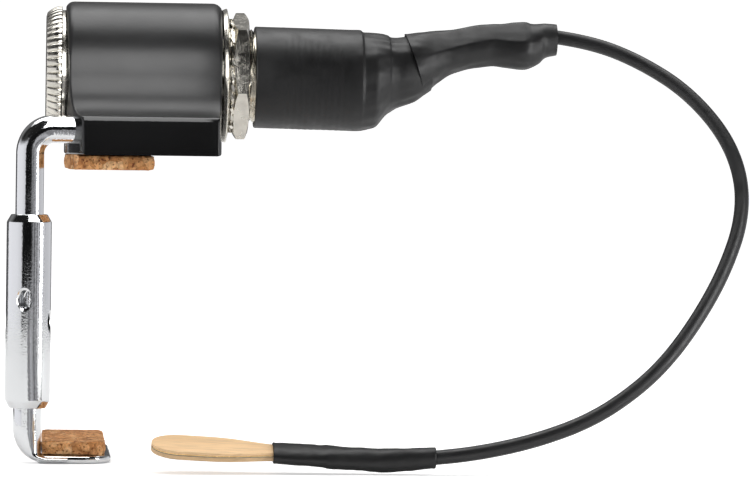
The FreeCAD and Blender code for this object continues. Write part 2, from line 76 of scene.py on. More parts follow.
def length(name, about, millimetres):
    """A length that a user can change."""
    return bpy.props.FloatProperty(name=name, description=about, default=millimetres * MM,
                                   precision=5, unit="LENGTH", subtype="DISTANCE")


def tint(name, about, colour):
    """A colour that a user can change."""
    return bpy.props.FloatVectorProperty(name=name, description=about, default=colour, size=3,
                                         min=0, max=1, subtype="COLOR")


def turn(name, about, degrees):
    """An angle that a user can change."""
    return bpy.props.FloatProperty(name=name, description=about, default=math.radians(degrees),
                                   unit="ROTATION", subtype="ANGLE")


def count(name, about, number):
    """A whole number that a user can change."""
    return bpy.props.IntProperty(name=name, description=about, default=number, min=3)


class PickupStudio(bpy.types.PropertyGroup):
    distance: length("Camera distance", "From the camera to the plane of the jack's axis", 600)
    camera_x: length("Camera X", "The camera's place along the jack's axis", -10)
    camera_z: length("Camera height", "The camera's height above the upper pad's underside", 7.3)
    azimuth: turn("Turn", "The camera's turn towards the lead", 4.21)
    pitch: turn("Pitch", "The camera's tilt down", 1.583)
    roll: turn("Roll", "The camera's roll", 0.8)
    lens: length("Lens", "Focal length on a 36 mm sensor", 227.5)
    floor: tint("Floor", "The floor's colour", (0.86, 0.86, 0.86))
    near_glow: bpy.props.FloatProperty(name="Near paper", description="Lift of the paper near the object",
                                       default=0.48, min=0)
    far_glow: bpy.props.FloatProperty(name="Far paper", description="Lift of the paper far behind",
                                      default=0.8, min=0)
    room: bpy.props.FloatProperty(name="Room light", description="Level of the even light",
                                  default=0.34, min=0)
    top_power: bpy.props.FloatProperty(name="Top box", description="Power of the light above", default=2.7,
                                       min=0, unit="POWER")
    left_power: bpy.props.FloatProperty(name="Left box", description="Power of the light at the left",
                                        default=0.9, min=0, unit="POWER")
    side_power: bpy.props.FloatProperty(name="Side strip", description="Power of the strip at the lead",
                                        default=0.07, min=0, unit="POWER")
    strip_power: bpy.props.FloatProperty(name="Front strip", description="Power of the strip by the housing",
                                         default=0.0046, min=0, unit="POWER")


class PickupHousing(bpy.types.PropertyGroup):
    dome: length("Dome radius", "Radius of the round top about the jack's axis", 9.1)
    side: length("Side height", "Height of the base's flat sides", 6.7)
    half: length("Half width", "Half width at the top of the base's sides", 14.5)
    bow: length("End bow", "How far the convex outer end falls back at the base's sides", 2.3)
    back_bow: length("Back bow", "Radius of the back end, seen from above", 150)
    outer_round: length("Outer rounding", "Radius of the outer end's upper edge", 1.1)
    back_round: length("Back rounding", "Radius of the back end's upper edge", 1.25)
    rim: length("Rim rounding", "Radius of the base's edges", 0.26)
    shoulder: length("Shoulder", "How far the edge between flare and base is rounded", 0.7)
    recess: length("Nut recess", "Radius of the recess for the round nut", 8.4)
    recess_deep: length("Recess depth", "Depth of the recess for the round nut", 0.4)
    bore: length("Bore", "Radius of the bore for the jack's sleeve", 6.0)
    socket: length("Rod sockets", "Depth of the sockets for the bent posts", 10)


class PickupClamp(bpy.types.PropertyGroup):
    rod: length("Rod radius", "Radius of the bent posts", 1.75)
    bend: length("Bend", "Radius of the upper posts' bend, at the rod's middle", 3.0)
    chamfer_in: length("Chamfer depth", "How far the turnbuckle's ends are turned down", 0.55)
    chamfer_long: length("Chamfer length", "Length of the turnbuckle's turned ends", 0.95)
    hole: length("Cross hole", "Radius of the turnbuckle's cross holes", 0.9)
    hole_sink: length("Countersink", "Depth of the cross holes' countersinks", 0.26)
    hole_tall: bpy.props.FloatProperty(name="Hole height",
                                       description="How much taller than wide the holes are",
                                       default=1.28, min=1)
    post_end: length("Post end", "The upper posts' ends, below the turnbuckle's top", 9.0)
    far_drop: length("Far drop", "How much lower than its solid the far turnbuckle hangs", 0.65)
    upper_hole: length("Upper hole", "Upper cross hole, below the turnbuckle's top", 10.5)
    lower_hole: length("Lower hole", "Lower cross hole, below the turnbuckle's top", 13.3)
    near_turn: turn("Near turnbuckle", "Turn of the near turnbuckle's holes", 10.4)
    far_turn: turn("Far turnbuckle", "Turn of the far turnbuckle's holes", 35)
    pitch: length("Thread pitch", "Pitch of the posts' threads", 0.6)
    thread: length("Thread", "Radius of the posts' thread crests", 1.72)
    thread_deep: length("Thread depth", "Depth of the posts' threads", 0.3)
    toe: length("Toe", "Outer radius of the lower posts' bend", 4.3)
    plate: length("Foot thickness", "Thickness of the foot plate", 1.0)
    plate_back: length("Foot back", "The foot plate's start, ahead of the legs' middle", 1.25)
    plate_corner: length("Foot corner", "Radius of the foot plate's front corners", 3.6)
    chrome: tint("Chrome", "Colour of the clamp's plating", (0.80, 0.81, 0.82))


class PickupCork(bpy.types.PropertyGroup):
    step: length("Mesh step", "Size of the cork's mesh squares", 0.3)
    wear: length("Edge wear", "How far the cork's edges are worn in", 0.22)
    pits: length("Pits", "Depth of the cork's pits", 0.3)
    grain: length("Grain", "Size of the cork's granules", 0.85)


class PickupJack(bpy.types.PropertyGroup):
    knurls: count("Knurls", "Number of ridges round the nut", 54)
    knurl_deep: length("Knurl depth", "Depth of the grooves between the ridges", 0.2)
    pitch: length("Thread pitch", "Pitch of the jack's thread", 0.794)
    thread_deep: length("Thread depth", "Depth of the jack's thread", 0.42)
    plug: length("Plug bore", "Radius of the bore for the plug", 3.2)
    plug_depth: length("Bore length", "Length of the bore for the plug", 12)
    room: length("Contact room", "Radius of the room for the contact", 4.6)
    seat: length("Rear seat", "Depth of the insulator's seat", 3.0)
    seat_radius: length("Seat radius", "Radius of the insulator's seat", 5.2)
    nut_in: length("Back nut in", "How far the back nut sits in from its solid", 0.4)
    nut_turn: turn("Back nut", "Turn of the back nut from its solid", -28)
    nickel: tint("Nickel", "Colour of the nuts and washers", (0.76, 0.73, 0.66))


class PickupShrink(bpy.types.PropertyGroup):
    wall: length("Wall", "Wall of the larger tube", 0.45)
    sag: length("Sag", "How far the larger tube's mouth hangs below the jack's axis", 0.13)
    rib: length("Ribs", "How far the thread shows through the larger tube", 0.018)
    fold: length("Folds", "Depth of the folds in the tubes' shoulders", 0.16)
    lump: length("Lumps", "Height of the tubes' lumps", 0.09)
    flat: bpy.props.FloatProperty(name="Flat", description="How far the small tube's flank is pressed flat",
                                  default=0.8, min=0, max=1)
    black: tint("Heat-shrink", "Colour of the heat-shrink", (0.006, 0.006, 0.0063))


class PickupLead(bpy.types.PropertyGroup):
    radius: length("Lead radius", "Radius of the thin lead", 0.9)
    black: tint("Lead", "Colour of the lead's jacket", (0.012, 0.012, 0.0125))


class PickupLeaf(bpy.types.PropertyGroup):
    reach: length("Leaf length", "From the sleeve to the leaf's tip", 14.8)
    half: length("Leaf half width", "Half of the leaf's greatest width", 3.1)
    shank: length("Shank half width", "Half of the shank's width", 1.6)
    shank_in: length("Shank length", "Length of the shank inside the sleeve", 6.8)
    lower_wood: length("Lower wood", "Thickness of the lower half", 0.53)
    film: length("Film", "Thickness of the sensing film", 0.12)
    foil: length("Foil", "Thickness of the foil", 0.1)
    upper_wood: length("Upper wood", "Thickness of the upper half", 0.35)
    roll: turn("Leaf roll", "The leaf's tilt towards the camera", 15.3)
    pitch: turn("Leaf pitch", "The leaf's rise towards its tip", 2.9)
    wood: tint("Wood", "Colour of the leaf's wood", (0.93, 0.64, 0.36))


GROUPS = {
    "pickup_studio": PickupStudio,
    "pickup_housing": PickupHousing,
    "pickup_clamp": PickupClamp,
    "pickup_cork": PickupCork,
    "pickup_jack": PickupJack,
    "pickup_shrink": PickupShrink,
    "pickup_lead": PickupLead,
    "pickup_leaf": PickupLeaf,
}


# Finishes

def shader_node(tree, kind, inputs=(), **settings):
    """Adds a node; an input is a number, a colour or another node's output."""
    made = tree.nodes.new(kind)
    for key, value in settings.items():
        setattr(made, key, value)
    for key, value in dict(inputs).items():
        if isinstance(value, bpy.types.NodeSocket):
            tree.links.new(value, made.inputs[key])
        else:
            made.inputs[key].default_value = value
    return made


class Finish:
    """A material under construction, patterned on the object's own coordinates."""

    def __init__(self, name, colour, roughness, metallic=0.0):
        self.material = bpy.data.materials.new(name)
        self.material.use_nodes = True
        self.tree = self.material.node_tree
        self.shader = self.tree.nodes["Principled BSDF"]
        self.shader.inputs["Base Color"].default_value = (*colour, 1)
        self.shader.inputs["Roughness"].default_value = roughness
        self.shader.inputs["Metallic"].default_value = metallic
        self.place = self.node("ShaderNodeTexCoord").outputs["Object"]

    def node(self, kind, inputs=(), **settings):
        return shader_node(self.tree, kind, inputs, **settings)

    def stretched(self, scale, rotation=(0, 0, 0), start=(0, 0, 0)):
        """Coordinates moved, turned and scaled, so that a pattern runs along a piece."""
        inputs = {"Vector": self.place, "Location": start, "Rotation": rotation, "Scale": scale}
        return self.node("ShaderNodeMapping", inputs, vector_type="POINT").outputs["Vector"]

    def noise(self, size, detail=2.0, place=None, twist=0.0):
        inputs = {"Vector": place or self.place, "Scale": 1 / size, "Detail": detail, "Distortion": twist}
        return self.node("ShaderNodeTexNoise", inputs).outputs["Fac"]

    def cells(self, size, output="Color", place=None):
        inputs = {"Vector": place or self.place, "Scale": 1 / size}
        return self.node("ShaderNodeTexVoronoi", inputs).outputs[output]

    def ramp(self, value, stops):
        made = self.node("ShaderNodeValToRGB", {"Fac": value})
        elements = made.color_ramp.elements
        while len(elements) < len(stops):
            elements.new(0.5)
        for element, (position, colour) in zip(elements, stops):
            element.position = position
            element.color = (*colour, 1)
        return made.outputs["Color"]

    def blend(self, amount, first, second, kind="MIX"):
        made = self.node("ShaderNodeMix", {0: amount}, data_type="RGBA", blend_type=kind)
        for socket, value in ((made.inputs[6], first), (made.inputs[7], second)):
            if isinstance(value, bpy.types.NodeSocket):
                self.tree.links.new(value, socket)
            else:
                socket.default_value = (*value, 1)
        return made.outputs[2]

    def between(self, value, low, high, start=0.3, stop=0.7):
        """A value spread over a range."""
        inputs = {"Value": value, "From Min": start, "From Max": stop, "To Min": low, "To Max": high}
        return self.node("ShaderNodeMapRange", inputs).outputs["Result"]

    def coloured(self, colour):
        self.tree.links.new(colour, self.shader.inputs["Base Color"])

    def roughened(self, value, low, high):
        self.tree.links.new(self.between(value, low, high), self.shader.inputs["Roughness"])

    def raised(self, height, depth, strength=1.0):
        """Adds a relief on top of any earlier one."""
        inputs = {"Height": height, "Distance": depth, "Strength": strength}
        bump = self.node("ShaderNodeBump", inputs)
        earlier = self.shader.inputs["Normal"]
        if earlier.links:
            self.tree.links.new(earlier.links[0].from_socket, bump.inputs["Normal"])
        self.tree.links.new(bump.outputs["Normal"], earlier)


def shaded(colour, factor):
    return tuple(min(1.0, c * factor) for c in colour)


def chrome_finish(colour):
    finish = Finish("clamp chrome", colour, 0.06, 1.0)
    finish.roughened(finish.noise(2.5 * MM, 3), 0.035, 0.12)
    finish.raised(finish.noise(3.5 * MM, 2), 0.05 * MM, 0.35)
    finish.raised(finish.noise(0.24 * MM, 2), 0.016 * MM, 0.6)
    return finish.material


def nickel_finish(colour, name="nickel plate", brush=None):
    finish = Finish(name, colour, 0.2, 1.0)
    if brush:
        lines = finish.noise(0.14 * MM, 3, finish.stretched(brush))
        finish.raised(lines, 0.02 * MM, 0.8)
    patches = finish.noise(1.6 * MM, 4)
    finish.coloured(finish.ramp(patches, [(0.3, shaded(colour, 0.86)), (0.7, shaded(colour, 1.1))]))
    finish.roughened(finish.noise(0.9 * MM, 3), 0.14, 0.3)
    finish.raised(finish.noise(0.25 * MM, 2), 0.008 * MM, 0.5)
    return finish.material


def housing_finish(settings):
    """Satin above, smoother and blacker on the flat sides of the base."""
    finish = Finish("housing black", (0.006, 0.006, 0.0062), 0.36)
    height = finish.node("ShaderNodeSeparateXYZ", {0: finish.place}).outputs["Z"]
    satin = finish.between(height, 0.1, 0.37, settings.side - 0.5 * MM, settings.side + 0.2 * MM)
    patches = finish.between(finish.noise(4 * MM, 3), -0.03, 0.04)
    total = finish.node("ShaderNodeMath", {0: satin, 1: patches}, operation="ADD").outputs[0]
    finish.tree.links.new(total, finish.shader.inputs["Roughness"])
    finish.raised(finish.noise(0.42 * MM, 3), 0.02 * MM, 0.5)
    finish.raised(finish.noise(1.5 * MM, 2), 0.03 * MM, 0.3)
    return finish.material


def cork_finish(grain):
    finish = Finish("cork", (0.6, 0.36, 0.19), 0.85)
    granules = finish.cells(grain)
    grey = finish.node("ShaderNodeRGBToBW", {"Color": granules}).outputs["Val"]
    tan = finish.ramp(grey, [(0.15, (0.58, 0.24, 0.075)), (0.42, (0.76, 0.35, 0.12)),
                             (0.65, (0.88, 0.45, 0.18)), (0.9, (0.98, 0.6, 0.3))])
    fleck = finish.noise(0.35 * grain, 4)
    mottled = finish.blend(0.55, tan, finish.ramp(fleck, [(0.35, (0.42, 0.42, 0.42)), (0.62, (1, 1, 1))]),
                           "MULTIPLY")
    gaps = finish.cells(grain, "Distance")
    dark = finish.ramp(gaps, [(0.55, (1, 1, 1)), (0.85, (0.45, 0.34, 0.26))])
    pores = finish.ramp(finish.noise(0.42 * grain, 3), [(0.35, (0.2, 0.07, 0.025)), (0.43, (1, 1, 1))])
    colour = finish.blend(0.7, mottled, dark, "MULTIPLY")
    finish.coloured(finish.blend(0.85, colour, pores, "MULTIPLY"))
    finish.raised(gaps, -0.12 * MM, 0.6)
    finish.raised(fleck, 0.08 * MM, 0.7)
    return finish.material


def shrink_finish(colour):
    finish = Finish("heat-shrink", colour, 0.5)
    finish.roughened(finish.noise(1.8 * MM, 4), 0.4, 0.54)
    finish.raised(finish.noise(0.5 * MM, 3), 0.02 * MM, 0.5)
    finish.raised(finish.noise(2.6 * MM, 2), 0.08 * MM, 0.35)
    return finish.material


def jacket_finish(colour):
    finish = Finish("lead jacket", colour, 0.42)
    finish.roughened(finish.noise(1.2 * MM, 3), 0.34, 0.5)
    finish.raised(finish.noise(0.3 * MM, 2), 0.01 * MM, 0.6)
    return finish.material


# A dark factor below 1 makes a darker copy of the same wood: painted shade, not a darker wood.
def wood_finish(name, colour, settings, dark=1.0):
    finish = Finish(name, colour, 0.5)
    along = finish.stretched((0.06, 1, 1), rotation=(-settings.roll, -settings.pitch, 0))
    streaks = finish.noise(0.28 * MM, 4, along, 0.6)
    broad = finish.noise(1.3 * MM, 2, along)
    tan = finish.ramp(streaks, [(0.32, shaded(colour, 0.84 * dark)), (0.5, shaded(colour, dark)),
                                (0.68, shaded(colour, 1.08 * dark))])
    finish.coloured(finish.blend(0.4, tan, finish.ramp(broad, [(0.3, (0.86, 0.8, 0.72)), (0.7, (1, 1, 1))]),
                                 "MULTIPLY"))
    finish.roughened(streaks, 0.42, 0.62)
    finish.raised(streaks, 0.02 * MM, 0.6)
    return finish.material


def metal_finish(name, colour, roughness, grain):
    finish = Finish(name, colour, roughness, 1.0)
    patches = finish.noise(grain, 3)
    finish.coloured(finish.ramp(patches, [(0.3, shaded(colour, 0.82)), (0.7, shaded(colour, 1.1))]))
    finish.roughened(patches, 0.8 * roughness, 1.35 * roughness)
    finish.raised(finish.noise(0.4 * grain, 2), 0.01 * MM, 0.5)
    return finish.material


def phenolic_finish():
    finish = Finish("phenolic board", (0.2, 0.09, 0.035), 0.5)
    weave = finish.stretched((1, 1, 0.3))
    threads = finish.noise(0.35 * MM, 3, weave)
    finish.coloured(finish.ramp(threads, [(0.35, (0.15, 0.06, 0.02)), (0.65, (0.27, 0.13, 0.055))]))
    finish.roughened(threads, 0.42, 0.6)
    finish.raised(threads, 0.02 * MM, 0.5)
    return finish.material


def film_finish():
    finish = Finish("sensing film", (0.34, 0.3, 0.22), 0.45)
    haze = finish.noise(0.8 * MM, 3)
    finish.coloured(finish.ramp(haze, [(0.3, (0.25, 0.2, 0.13)), (0.7, (0.4, 0.34, 0.24))]))
    finish.raised(finish.noise(0.3 * MM, 2), 0.01 * MM, 0.4)
    return finish.material


# Building blocks

def mesh_from(name, bm):
    """Writes a bmesh to a new mesh and frees it."""
    mesh = bpy.data.meshes.new(name)
    bm.to_mesh(mesh)
    bm.free()
    return mesh


def linked(name, data):
    """A new object in the scene."""
    made = bpy.data.objects.new(name, data)
    bpy.context.scene.collection.objects.link(made)
    return made


def verts_of(edges):
    return list({v for e in edges for v in e.verts})


def new_piece(name, bm, body, material, stands_for=(), sharp=35):
    """Turns a bmesh into a piece that rides on a body and stands for its solids."""
    bmesh.ops.recalc_face_normals(bm, faces=bm.faces)
    dress(name, mesh_from(name, bm), body, material, stands_for, sharp)


def dress(name, mesh, body, material, stands_for=(), sharp=35):
    """Makes a mesh a piece, smooth but for edges sharper than an angle in degrees."""
    mesh.shade_smooth()
    mesh.set_sharp_from_angle(angle=math.radians(sharp))
    mesh.materials.clear()
    mesh.materials.append(material)
    piece = linked(name, mesh)
    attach(piece, body)
    if stands_for:
        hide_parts(*stands_for)


def turned(profile, centre, axis, out, steps=128, closed=True):
    """A body turned about an axis from (along, radius) corners."""
    bm = bmesh.new()
    points = [bm.verts.new(centre + axis * a + out * r) for a, r in profile]
    pairs = list(zip(points, points[1:] + points[:1]))
    edges = [bm.edges.new(pair) for pair in (pairs if closed else pairs[:-1])]
    bmesh.ops.spin(bm, geom=points + edges, cent=centre, axis=axis, angle=math.tau, steps=steps,
                   use_merge=True)
    bmesh.ops.remove_doubles(bm, verts=bm.verts, dist=1e-7)
    bmesh.ops.recalc_face_normals(bm, faces=bm.faces)
    return bm


def on_jack(profile, steps=128, closed=True):
    """A body turned about the jack's axis from (x, radius) corners."""
    return turned(profile, Vector((0, 0, JACK_Z)), Vector((1, 0, 0)), Vector((0, 0, 1)), steps, closed)


def bent(start, corner, end, t):
    """A point on the curve that rounds a corner."""
    return tuple((1 - t) ** 2 * start + 2 * t * (1 - t) * corner + t ** 2 * end)


def softened(profile, radius, parts=4):
    """Rounds a closed profile's corners."""
    rounded = []
    total = len(profile)
    for i, corner in enumerate(profile):
        b = Vector(corner)
        back = Vector(profile[i - 1]) - b
        ahead = Vector(profile[(i + 1) % total]) - b
        reach = min(radius, 0.4 * back.length, 0.4 * ahead.length)
        start = b + back.normalized() * reach
        end = b + ahead.normalized() * reach
        rounded += [bent(start, b, end, k / parts) for k in range(parts + 1)]
    return rounded


def new_edges(made):
    """The far ring of an extrusion's new edges."""
    fresh = {g for g in made["geom"] if isinstance(g, bmesh.types.BMVert)}
    return [g for g in made["geom"]
            if isinstance(g, bmesh.types.BMEdge) and all(v in fresh for v in g.verts)]


def skin(places, segments=64, caps=True, bm=None):
    """A tube extruded from place to place; each place is a matrix that sets a unit circle."""
    bm = bm or bmesh.new()
    first = bmesh.ops.create_circle(bm, segments=segments, radius=1, matrix=places[0])["verts"]
    ring = list({e for v in first for e in v.link_edges})
    if caps:
        bmesh.ops.contextual_create(bm, geom=ring)
    for before, after in zip(places, places[1:]):
        made = bmesh.ops.extrude_edge_only(bm, edges=ring)
        ring = new_edges(made)
        bmesh.ops.transform(bm, matrix=after @ before.inverted(), verts=verts_of(ring))
    if caps:
        bmesh.ops.contextual_create(bm, geom=ring)
    return bm


def place(origin, across, up):
    """A matrix that sets a unit circle on two half axes."""
    normal = across.cross(up).normalized()
    matrix = Matrix((across, up, normal)).transposed().to_4x4()
    matrix.translation = origin
    return matrix


def eased(t):
    t = max(0.0, min(1.0, t))
    return t * t * (3 - 2 * t)


def through(stations, parts):
    """Stations with smoothly interpolated ones between them."""
    ends = [stations[0]] + list(stations) + [stations[-1]]
    result = []
    for p0, p1, p2, p3 in zip(ends, ends[1:], ends[2:], ends[3:]):
        for k in range(parts):
            t = k / parts
            result.append(tuple(
                0.5 * (2 * b + (c - a) * t + (2 * a - 5 * b + 4 * c - d) * t ** 2
                       + (3 * b - a - 3 * c + d) * t ** 3)
                for a, b, c, d in zip(p0, p1, p2, p3)))
    result.append(tuple(stations[-1]))
    return result


def lumpy(point, size, seed=0.0):
    """Smooth noise from -1 to 1 at a point."""
    return noise.noise(Vector(point) / size + Vector((seed, seed, seed)))


def merged_copy(node):
    """A copy of a frame node's mesh with its loose triangles joined."""
    bm = bmesh.new()
    bm.from_mesh(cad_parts[node].data)
    bmesh.ops.remove_doubles(bm, verts=bm.verts, dist=2e-6)
    return bm


def baked(piece, name):
    """Applies a piece's modifiers."""
    mesh = bpy.data.meshes.new_from_object(piece.evaluated_get(bpy.context.evaluated_depsgraph_get()))
    mesh.name = name
    bpy.data.objects.remove(piece)
    return mesh


def carved(bm, tools, name):
    """Cuts tool bodies out of a bmesh and returns the mesh."""
    body = linked(name, mesh_from(name, bm))
    cutters = [linked(f"{name} tool {i}", mesh_from("tool", tool)) for i, tool in enumerate(tools)]
    for cutter in cutters:
        modifier = body.modifiers.new("cut", "BOOLEAN")
        modifier.operation = "DIFFERENCE"
        modifier.solver = "MANIFOLD"
        modifier.object = cutter
    bpy.context.view_layer.update()
    mesh = baked(body, name)
    for cutter in cutters:
        bpy.data.objects.remove(cutter)
    return mesh


# Stage and lead

def stage_surface(material):
    """A wide floor that turns up into a backdrop far behind."""
    bm = bmesh.new()
    half_wide, half_deep, bend, wall = 4.0, 2.0, 0.8, 1.6
    ends = [bm.verts.new((x, -half_deep, FLOOR_Z)) for x in (-half_wide, half_wide)]
    edge = new_edges(bmesh.ops.extrude_edge_only(bm, edges=[bm.edges.new(ends)]))
    bmesh.ops.translate(bm, vec=(0, 2 * half_deep, 0), verts=verts_of(edge))
    spun = bmesh.ops.spin(bm, geom=edge + verts_of(edge), cent=(0, half_deep, FLOOR_Z + bend),
                          axis=(1, 0, 0), angle=math.pi / 2, steps=16)
    last = [g for g in spun["geom_last"] if isinstance(g, bmesh.types.BMEdge)]
    top = new_edges(bmesh.ops.extrude_edge_only(bm, edges=last))
    bmesh.ops.translate(bm, vec=(0, 0, wall), verts=verts_of(top))
    bmesh.ops.recalc_face_normals(bm, faces=bm.faces)
    return stage_piece("floor", bm, material)


def stage_piece(name, bm, material):
    """A smooth piece of the stage."""
    made = linked(name, mesh_from(name, bm))
    made.data.shade_smooth()
    made.data.materials.append(material)
    return made


def curtain(bm, start, stop, highest, foot=()):
    """Part of a round curtain about the object, between two turns and up to a height in degrees."""
    radius = 300 * MM
    profile = [(r, FLOOR_Z + 0.2 * MM) for r in foot]
    profile += [(radius * math.cos(math.radians(a)), radius * math.sin(math.radians(a)))
                for a in range(-7, highest, 3)]
    start, stop = math.radians(start), math.radians(stop)
    way = Vector((math.sin(start), -math.cos(start), 0))
    points = [bm.verts.new(way * r + Vector((0, 0, z))) for r, z in profile]
    edges = [bm.edges.new(pair) for pair in zip(points, points[1:])]
    bmesh.ops.spin(bm, geom=points + edges, cent=(0, 0, 0), axis=(0, 0, 1), angle=stop - start, steps=64)


def mirror_curtain():
    """A curtain of dark and pale cloth round the object that only mirrors see."""
    bm = bmesh.new()
    curtain(bm, -100, -36, 73)
    curtain(bm, -36, -5, 73)
    curtain(bm, -5, 42, 73, foot=(0.045, 0.2))
    curtain(bm, 42, 100, 73)
    curtain(bm, 100, 260, 50)
    screen = stage_piece("mirror_curtain", bm, curtain_finish())
    screen.visible_camera = False
    screen.visible_diffuse = False
    screen.visible_shadow = False
    screen.visible_transmission = False
    return screen


def curtain_finish():
    """Black before the object, striped towards the lead, pale at the sides and dark behind."""
    finish = Finish("mirror curtain", (0, 0, 0), 1.0)
    parts = finish.node("ShaderNodeSeparateXYZ", {0: finish.place}).outputs
    back = finish.node("ShaderNodeMath", {0: parts["Y"], 1: -1.0}, operation="MULTIPLY").outputs[0]
    around = finish.node("ShaderNodeMath", {0: parts["X"], 1: back}, operation="ARCTAN2").outputs[0]
    share = finish.between(around, 0.0, 1.0, -math.pi, math.pi)
    ends = [(-180, 0.1), (-128, 0.1), (-123, 0.95), (-60, 0.85), (-38, 0.72), (-34, 0.006)]
    stripes = [(14, 0.1), (20, 0.34), (26, 0.05), (33, 0.5), (39, 0.07), (46, 0.75), (53, 0.2), (60, 0.85),
               (68, 0.4), (76, 0.8), (90, 0.6), (140, 0.7), (160, 0.12), (180, 0.1)]
    high_ring = ends + [(8, 0.006)] + stripes
    low_ring = ends + [(-26, 0.02), (-20, 0.3), (-13, 0.08), (-6, 0.55), (2, 0.25), (10, 0.7)] + stripes[1:]
    tones = [finish.ramp(share, [((a + 180) / 360, (v, v, 1.04 * v)) for a, v in ring])
             for ring in (high_ring, low_ring)]
    shade = finish.blend(finish.between(parts["Z"], 1.0, 0.0, -46 * MM, -14 * MM), *tones)
    raised = finish.between(parts["Z"], 0.0, 1.0, 60 * MM, 110 * MM)
    high = [(-180, 0.2), (-125, 0.2), (-100, 0.012), (100, 0.012), (125, 0.2), (180, 0.2)]
    upper = finish.blend(raised, shade, finish.ramp(share, [((a + 180) / 360, (v, v, v)) for a, v in high]))
    glow = finish.node("ShaderNodeEmission", {"Color": upper})
    finish.tree.links.new(glow.outputs[0], finish.tree.nodes["Material Output"].inputs["Surface"])
    return finish.material


def to_the_eye(tree):
    """1 for rays that show the background: camera, mirror and clear ones."""
    paths = shader_node(tree, "ShaderNodeLightPath").outputs
    seen = shader_node(tree, "ShaderNodeMath", {0: paths["Is Camera Ray"], 1: paths["Is Glossy Ray"]},
                       operation="MAXIMUM").outputs[0]
    return shader_node(tree, "ShaderNodeMath", {0: seen, 1: paths["Is Transmission Ray"]},
                       operation="MAXIMUM").outputs[0]


def floor_finish(settings):
    """Pale paper that stays near white to the camera and keeps the object's shadow."""
    finish = Finish("floor paper", settings.floor, 0.9)
    finish.shader.inputs["Specular IOR Level"].default_value = 0.0
    paths = finish.node("ShaderNodeLightPath").outputs
    mirrored = finish.between(paths["Is Glossy Ray"], 0.0, 0.06, 0.0, 1.0)
    seen = finish.node("ShaderNodeMath", {0: paths["Is Camera Ray"], 1: paths["Is Transmission Ray"]},
                       operation="MAXIMUM").outputs[0]
    away = finish.node("ShaderNodeVectorMath", {0: finish.place}, operation="LENGTH").outputs["Value"]
    lift = finish.between(away, settings.near_glow, settings.far_glow, 0.1, 0.8)
    lifted = finish.node("ShaderNodeMath", {0: seen, 1: lift}, operation="MULTIPLY").outputs[0]
    strength = finish.node("ShaderNodeMath", {0: lifted, 1: mirrored}, operation="ADD").outputs[0]
    glow = finish.node("ShaderNodeEmission", {"Strength": strength})
    total = finish.node("ShaderNodeAddShader", {0: finish.shader.outputs[0], 1: glow.outputs[0]})
    finish.tree.links.new(total.outputs[0], finish.tree.nodes["Material Output"].inputs["Surface"])
    return finish.material


def softbox(name, power, size, position, target=(0.015, 0, -0.01)):
    """A rectangular lamp that faces a target."""
    lamp = bpy.data.lights.new(name, "AREA")
    lamp.shape = "RECTANGLE"
    lamp.size, lamp.size_y = size
    lamp.energy = power
    made = linked(name, lamp)
    made.location = position
    made.rotation_euler = (Vector(target) - Vector(position)).to_track_quat("-Z", "Y").to_euler()


def studio_world(settings):
    """Soft even light, and white to the camera, mirrors and clear parts."""
    world = bpy.data.worlds.new("studio")
    bpy.context.scene.world = world
    world.use_nodes = True
    tree = world.node_tree
    grey = (settings.room, settings.room, settings.room, 1)
    inputs = {0: to_the_eye(tree), 6: grey, 7: (1, 1, 1, 1)}
    colour = shader_node(tree, "ShaderNodeMix", inputs, data_type="RGBA")
    tree.links.new(colour.outputs[2], tree.nodes["Background"].inputs["Color"])


def studio_camera(settings):
    azimuth, pitch, roll = settings.azimuth, settings.pitch, settings.roll
    ahead = Vector((math.sin(azimuth) * math.cos(pitch), math.cos(azimuth) * math.cos(pitch),
                    -math.sin(pitch)))
    level = Vector((math.cos(azimuth), -math.sin(azimuth), 0))
    right = (Matrix.Rotation(-roll, 3, ahead) @ level).normalized()
    up = right.cross(ahead)
    data = bpy.data.cameras.new("camera")
    data.lens = settings.lens / MM
    data.sensor_width = 36
    data.sensor_fit = "HORIZONTAL"
    data.clip_start, data.clip_end = 0.02, 20
    camera = linked("camera", data)
    camera.matrix_world = Matrix.Translation((settings.camera_x, -settings.distance, settings.camera_z)) @ \
        Matrix((right, up, -ahead)).transposed().to_4x4()
    bpy.context.scene.camera = camera


class PICKUP_OT_studio(bpy.types.Operator):
    """Add the camera, lights, floor and backdrop"""
    bl_idname = "pickup.studio"
    bl_label = "Studio"

    def execute(self, context):
        settings = context.scene.pickup_studio
        studio_camera(settings)
        floor = stage_surface(floor_finish(settings))
        mirror_curtain()
        softbox("top box", settings.top_power, (0.7, 0.42), (0.02, 0.09, 0.5))
        softbox("side strip", settings.side_power, (0.03, 0.12), (0.125, -0.07, 0.0), (0.05, -0.01, 0.0))
        softbox("left box", settings.left_power, (0.35, 0.6), (-0.7, -0.2, 0.25))
        softbox("front strip", settings.strip_power, (0.0245, 0.0136), (0.00175, -0.0215, 0.0165),
                (0.00175, -0.0134, 0.0106))
        studio_world(settings)
        context.scene.view_settings.view_transform = "Standard"
        return {"FINISHED"}


# The lead's route from the small tube to the sleeve, in millimetres
LEAD_ROUTE = [
    (56.9, 0.0, 17.5), (61.4, -0.4, 16.9), (67.2, -2.4, 14.6), (72.8, -5.7, 10.95), (77.1, -9.8, 5.7),
    (78.95, -13.3, 0.3), (78.6, -16.4, -5.2), (76.3, -19.0, -11.0), (73.2, -21.3, -16.3),
    (69.3, -23.1, -21.6), (65.1, -24.2, -25.7), (59.3, -24.9, -29.6), (52.4, -25.1, -32.2),
    (45.6, -25.0, -33.75), (39.8, -24.9, -34.45), (34.6, -25.0, -34.75), (29.8, -25.1, -34.65),
]


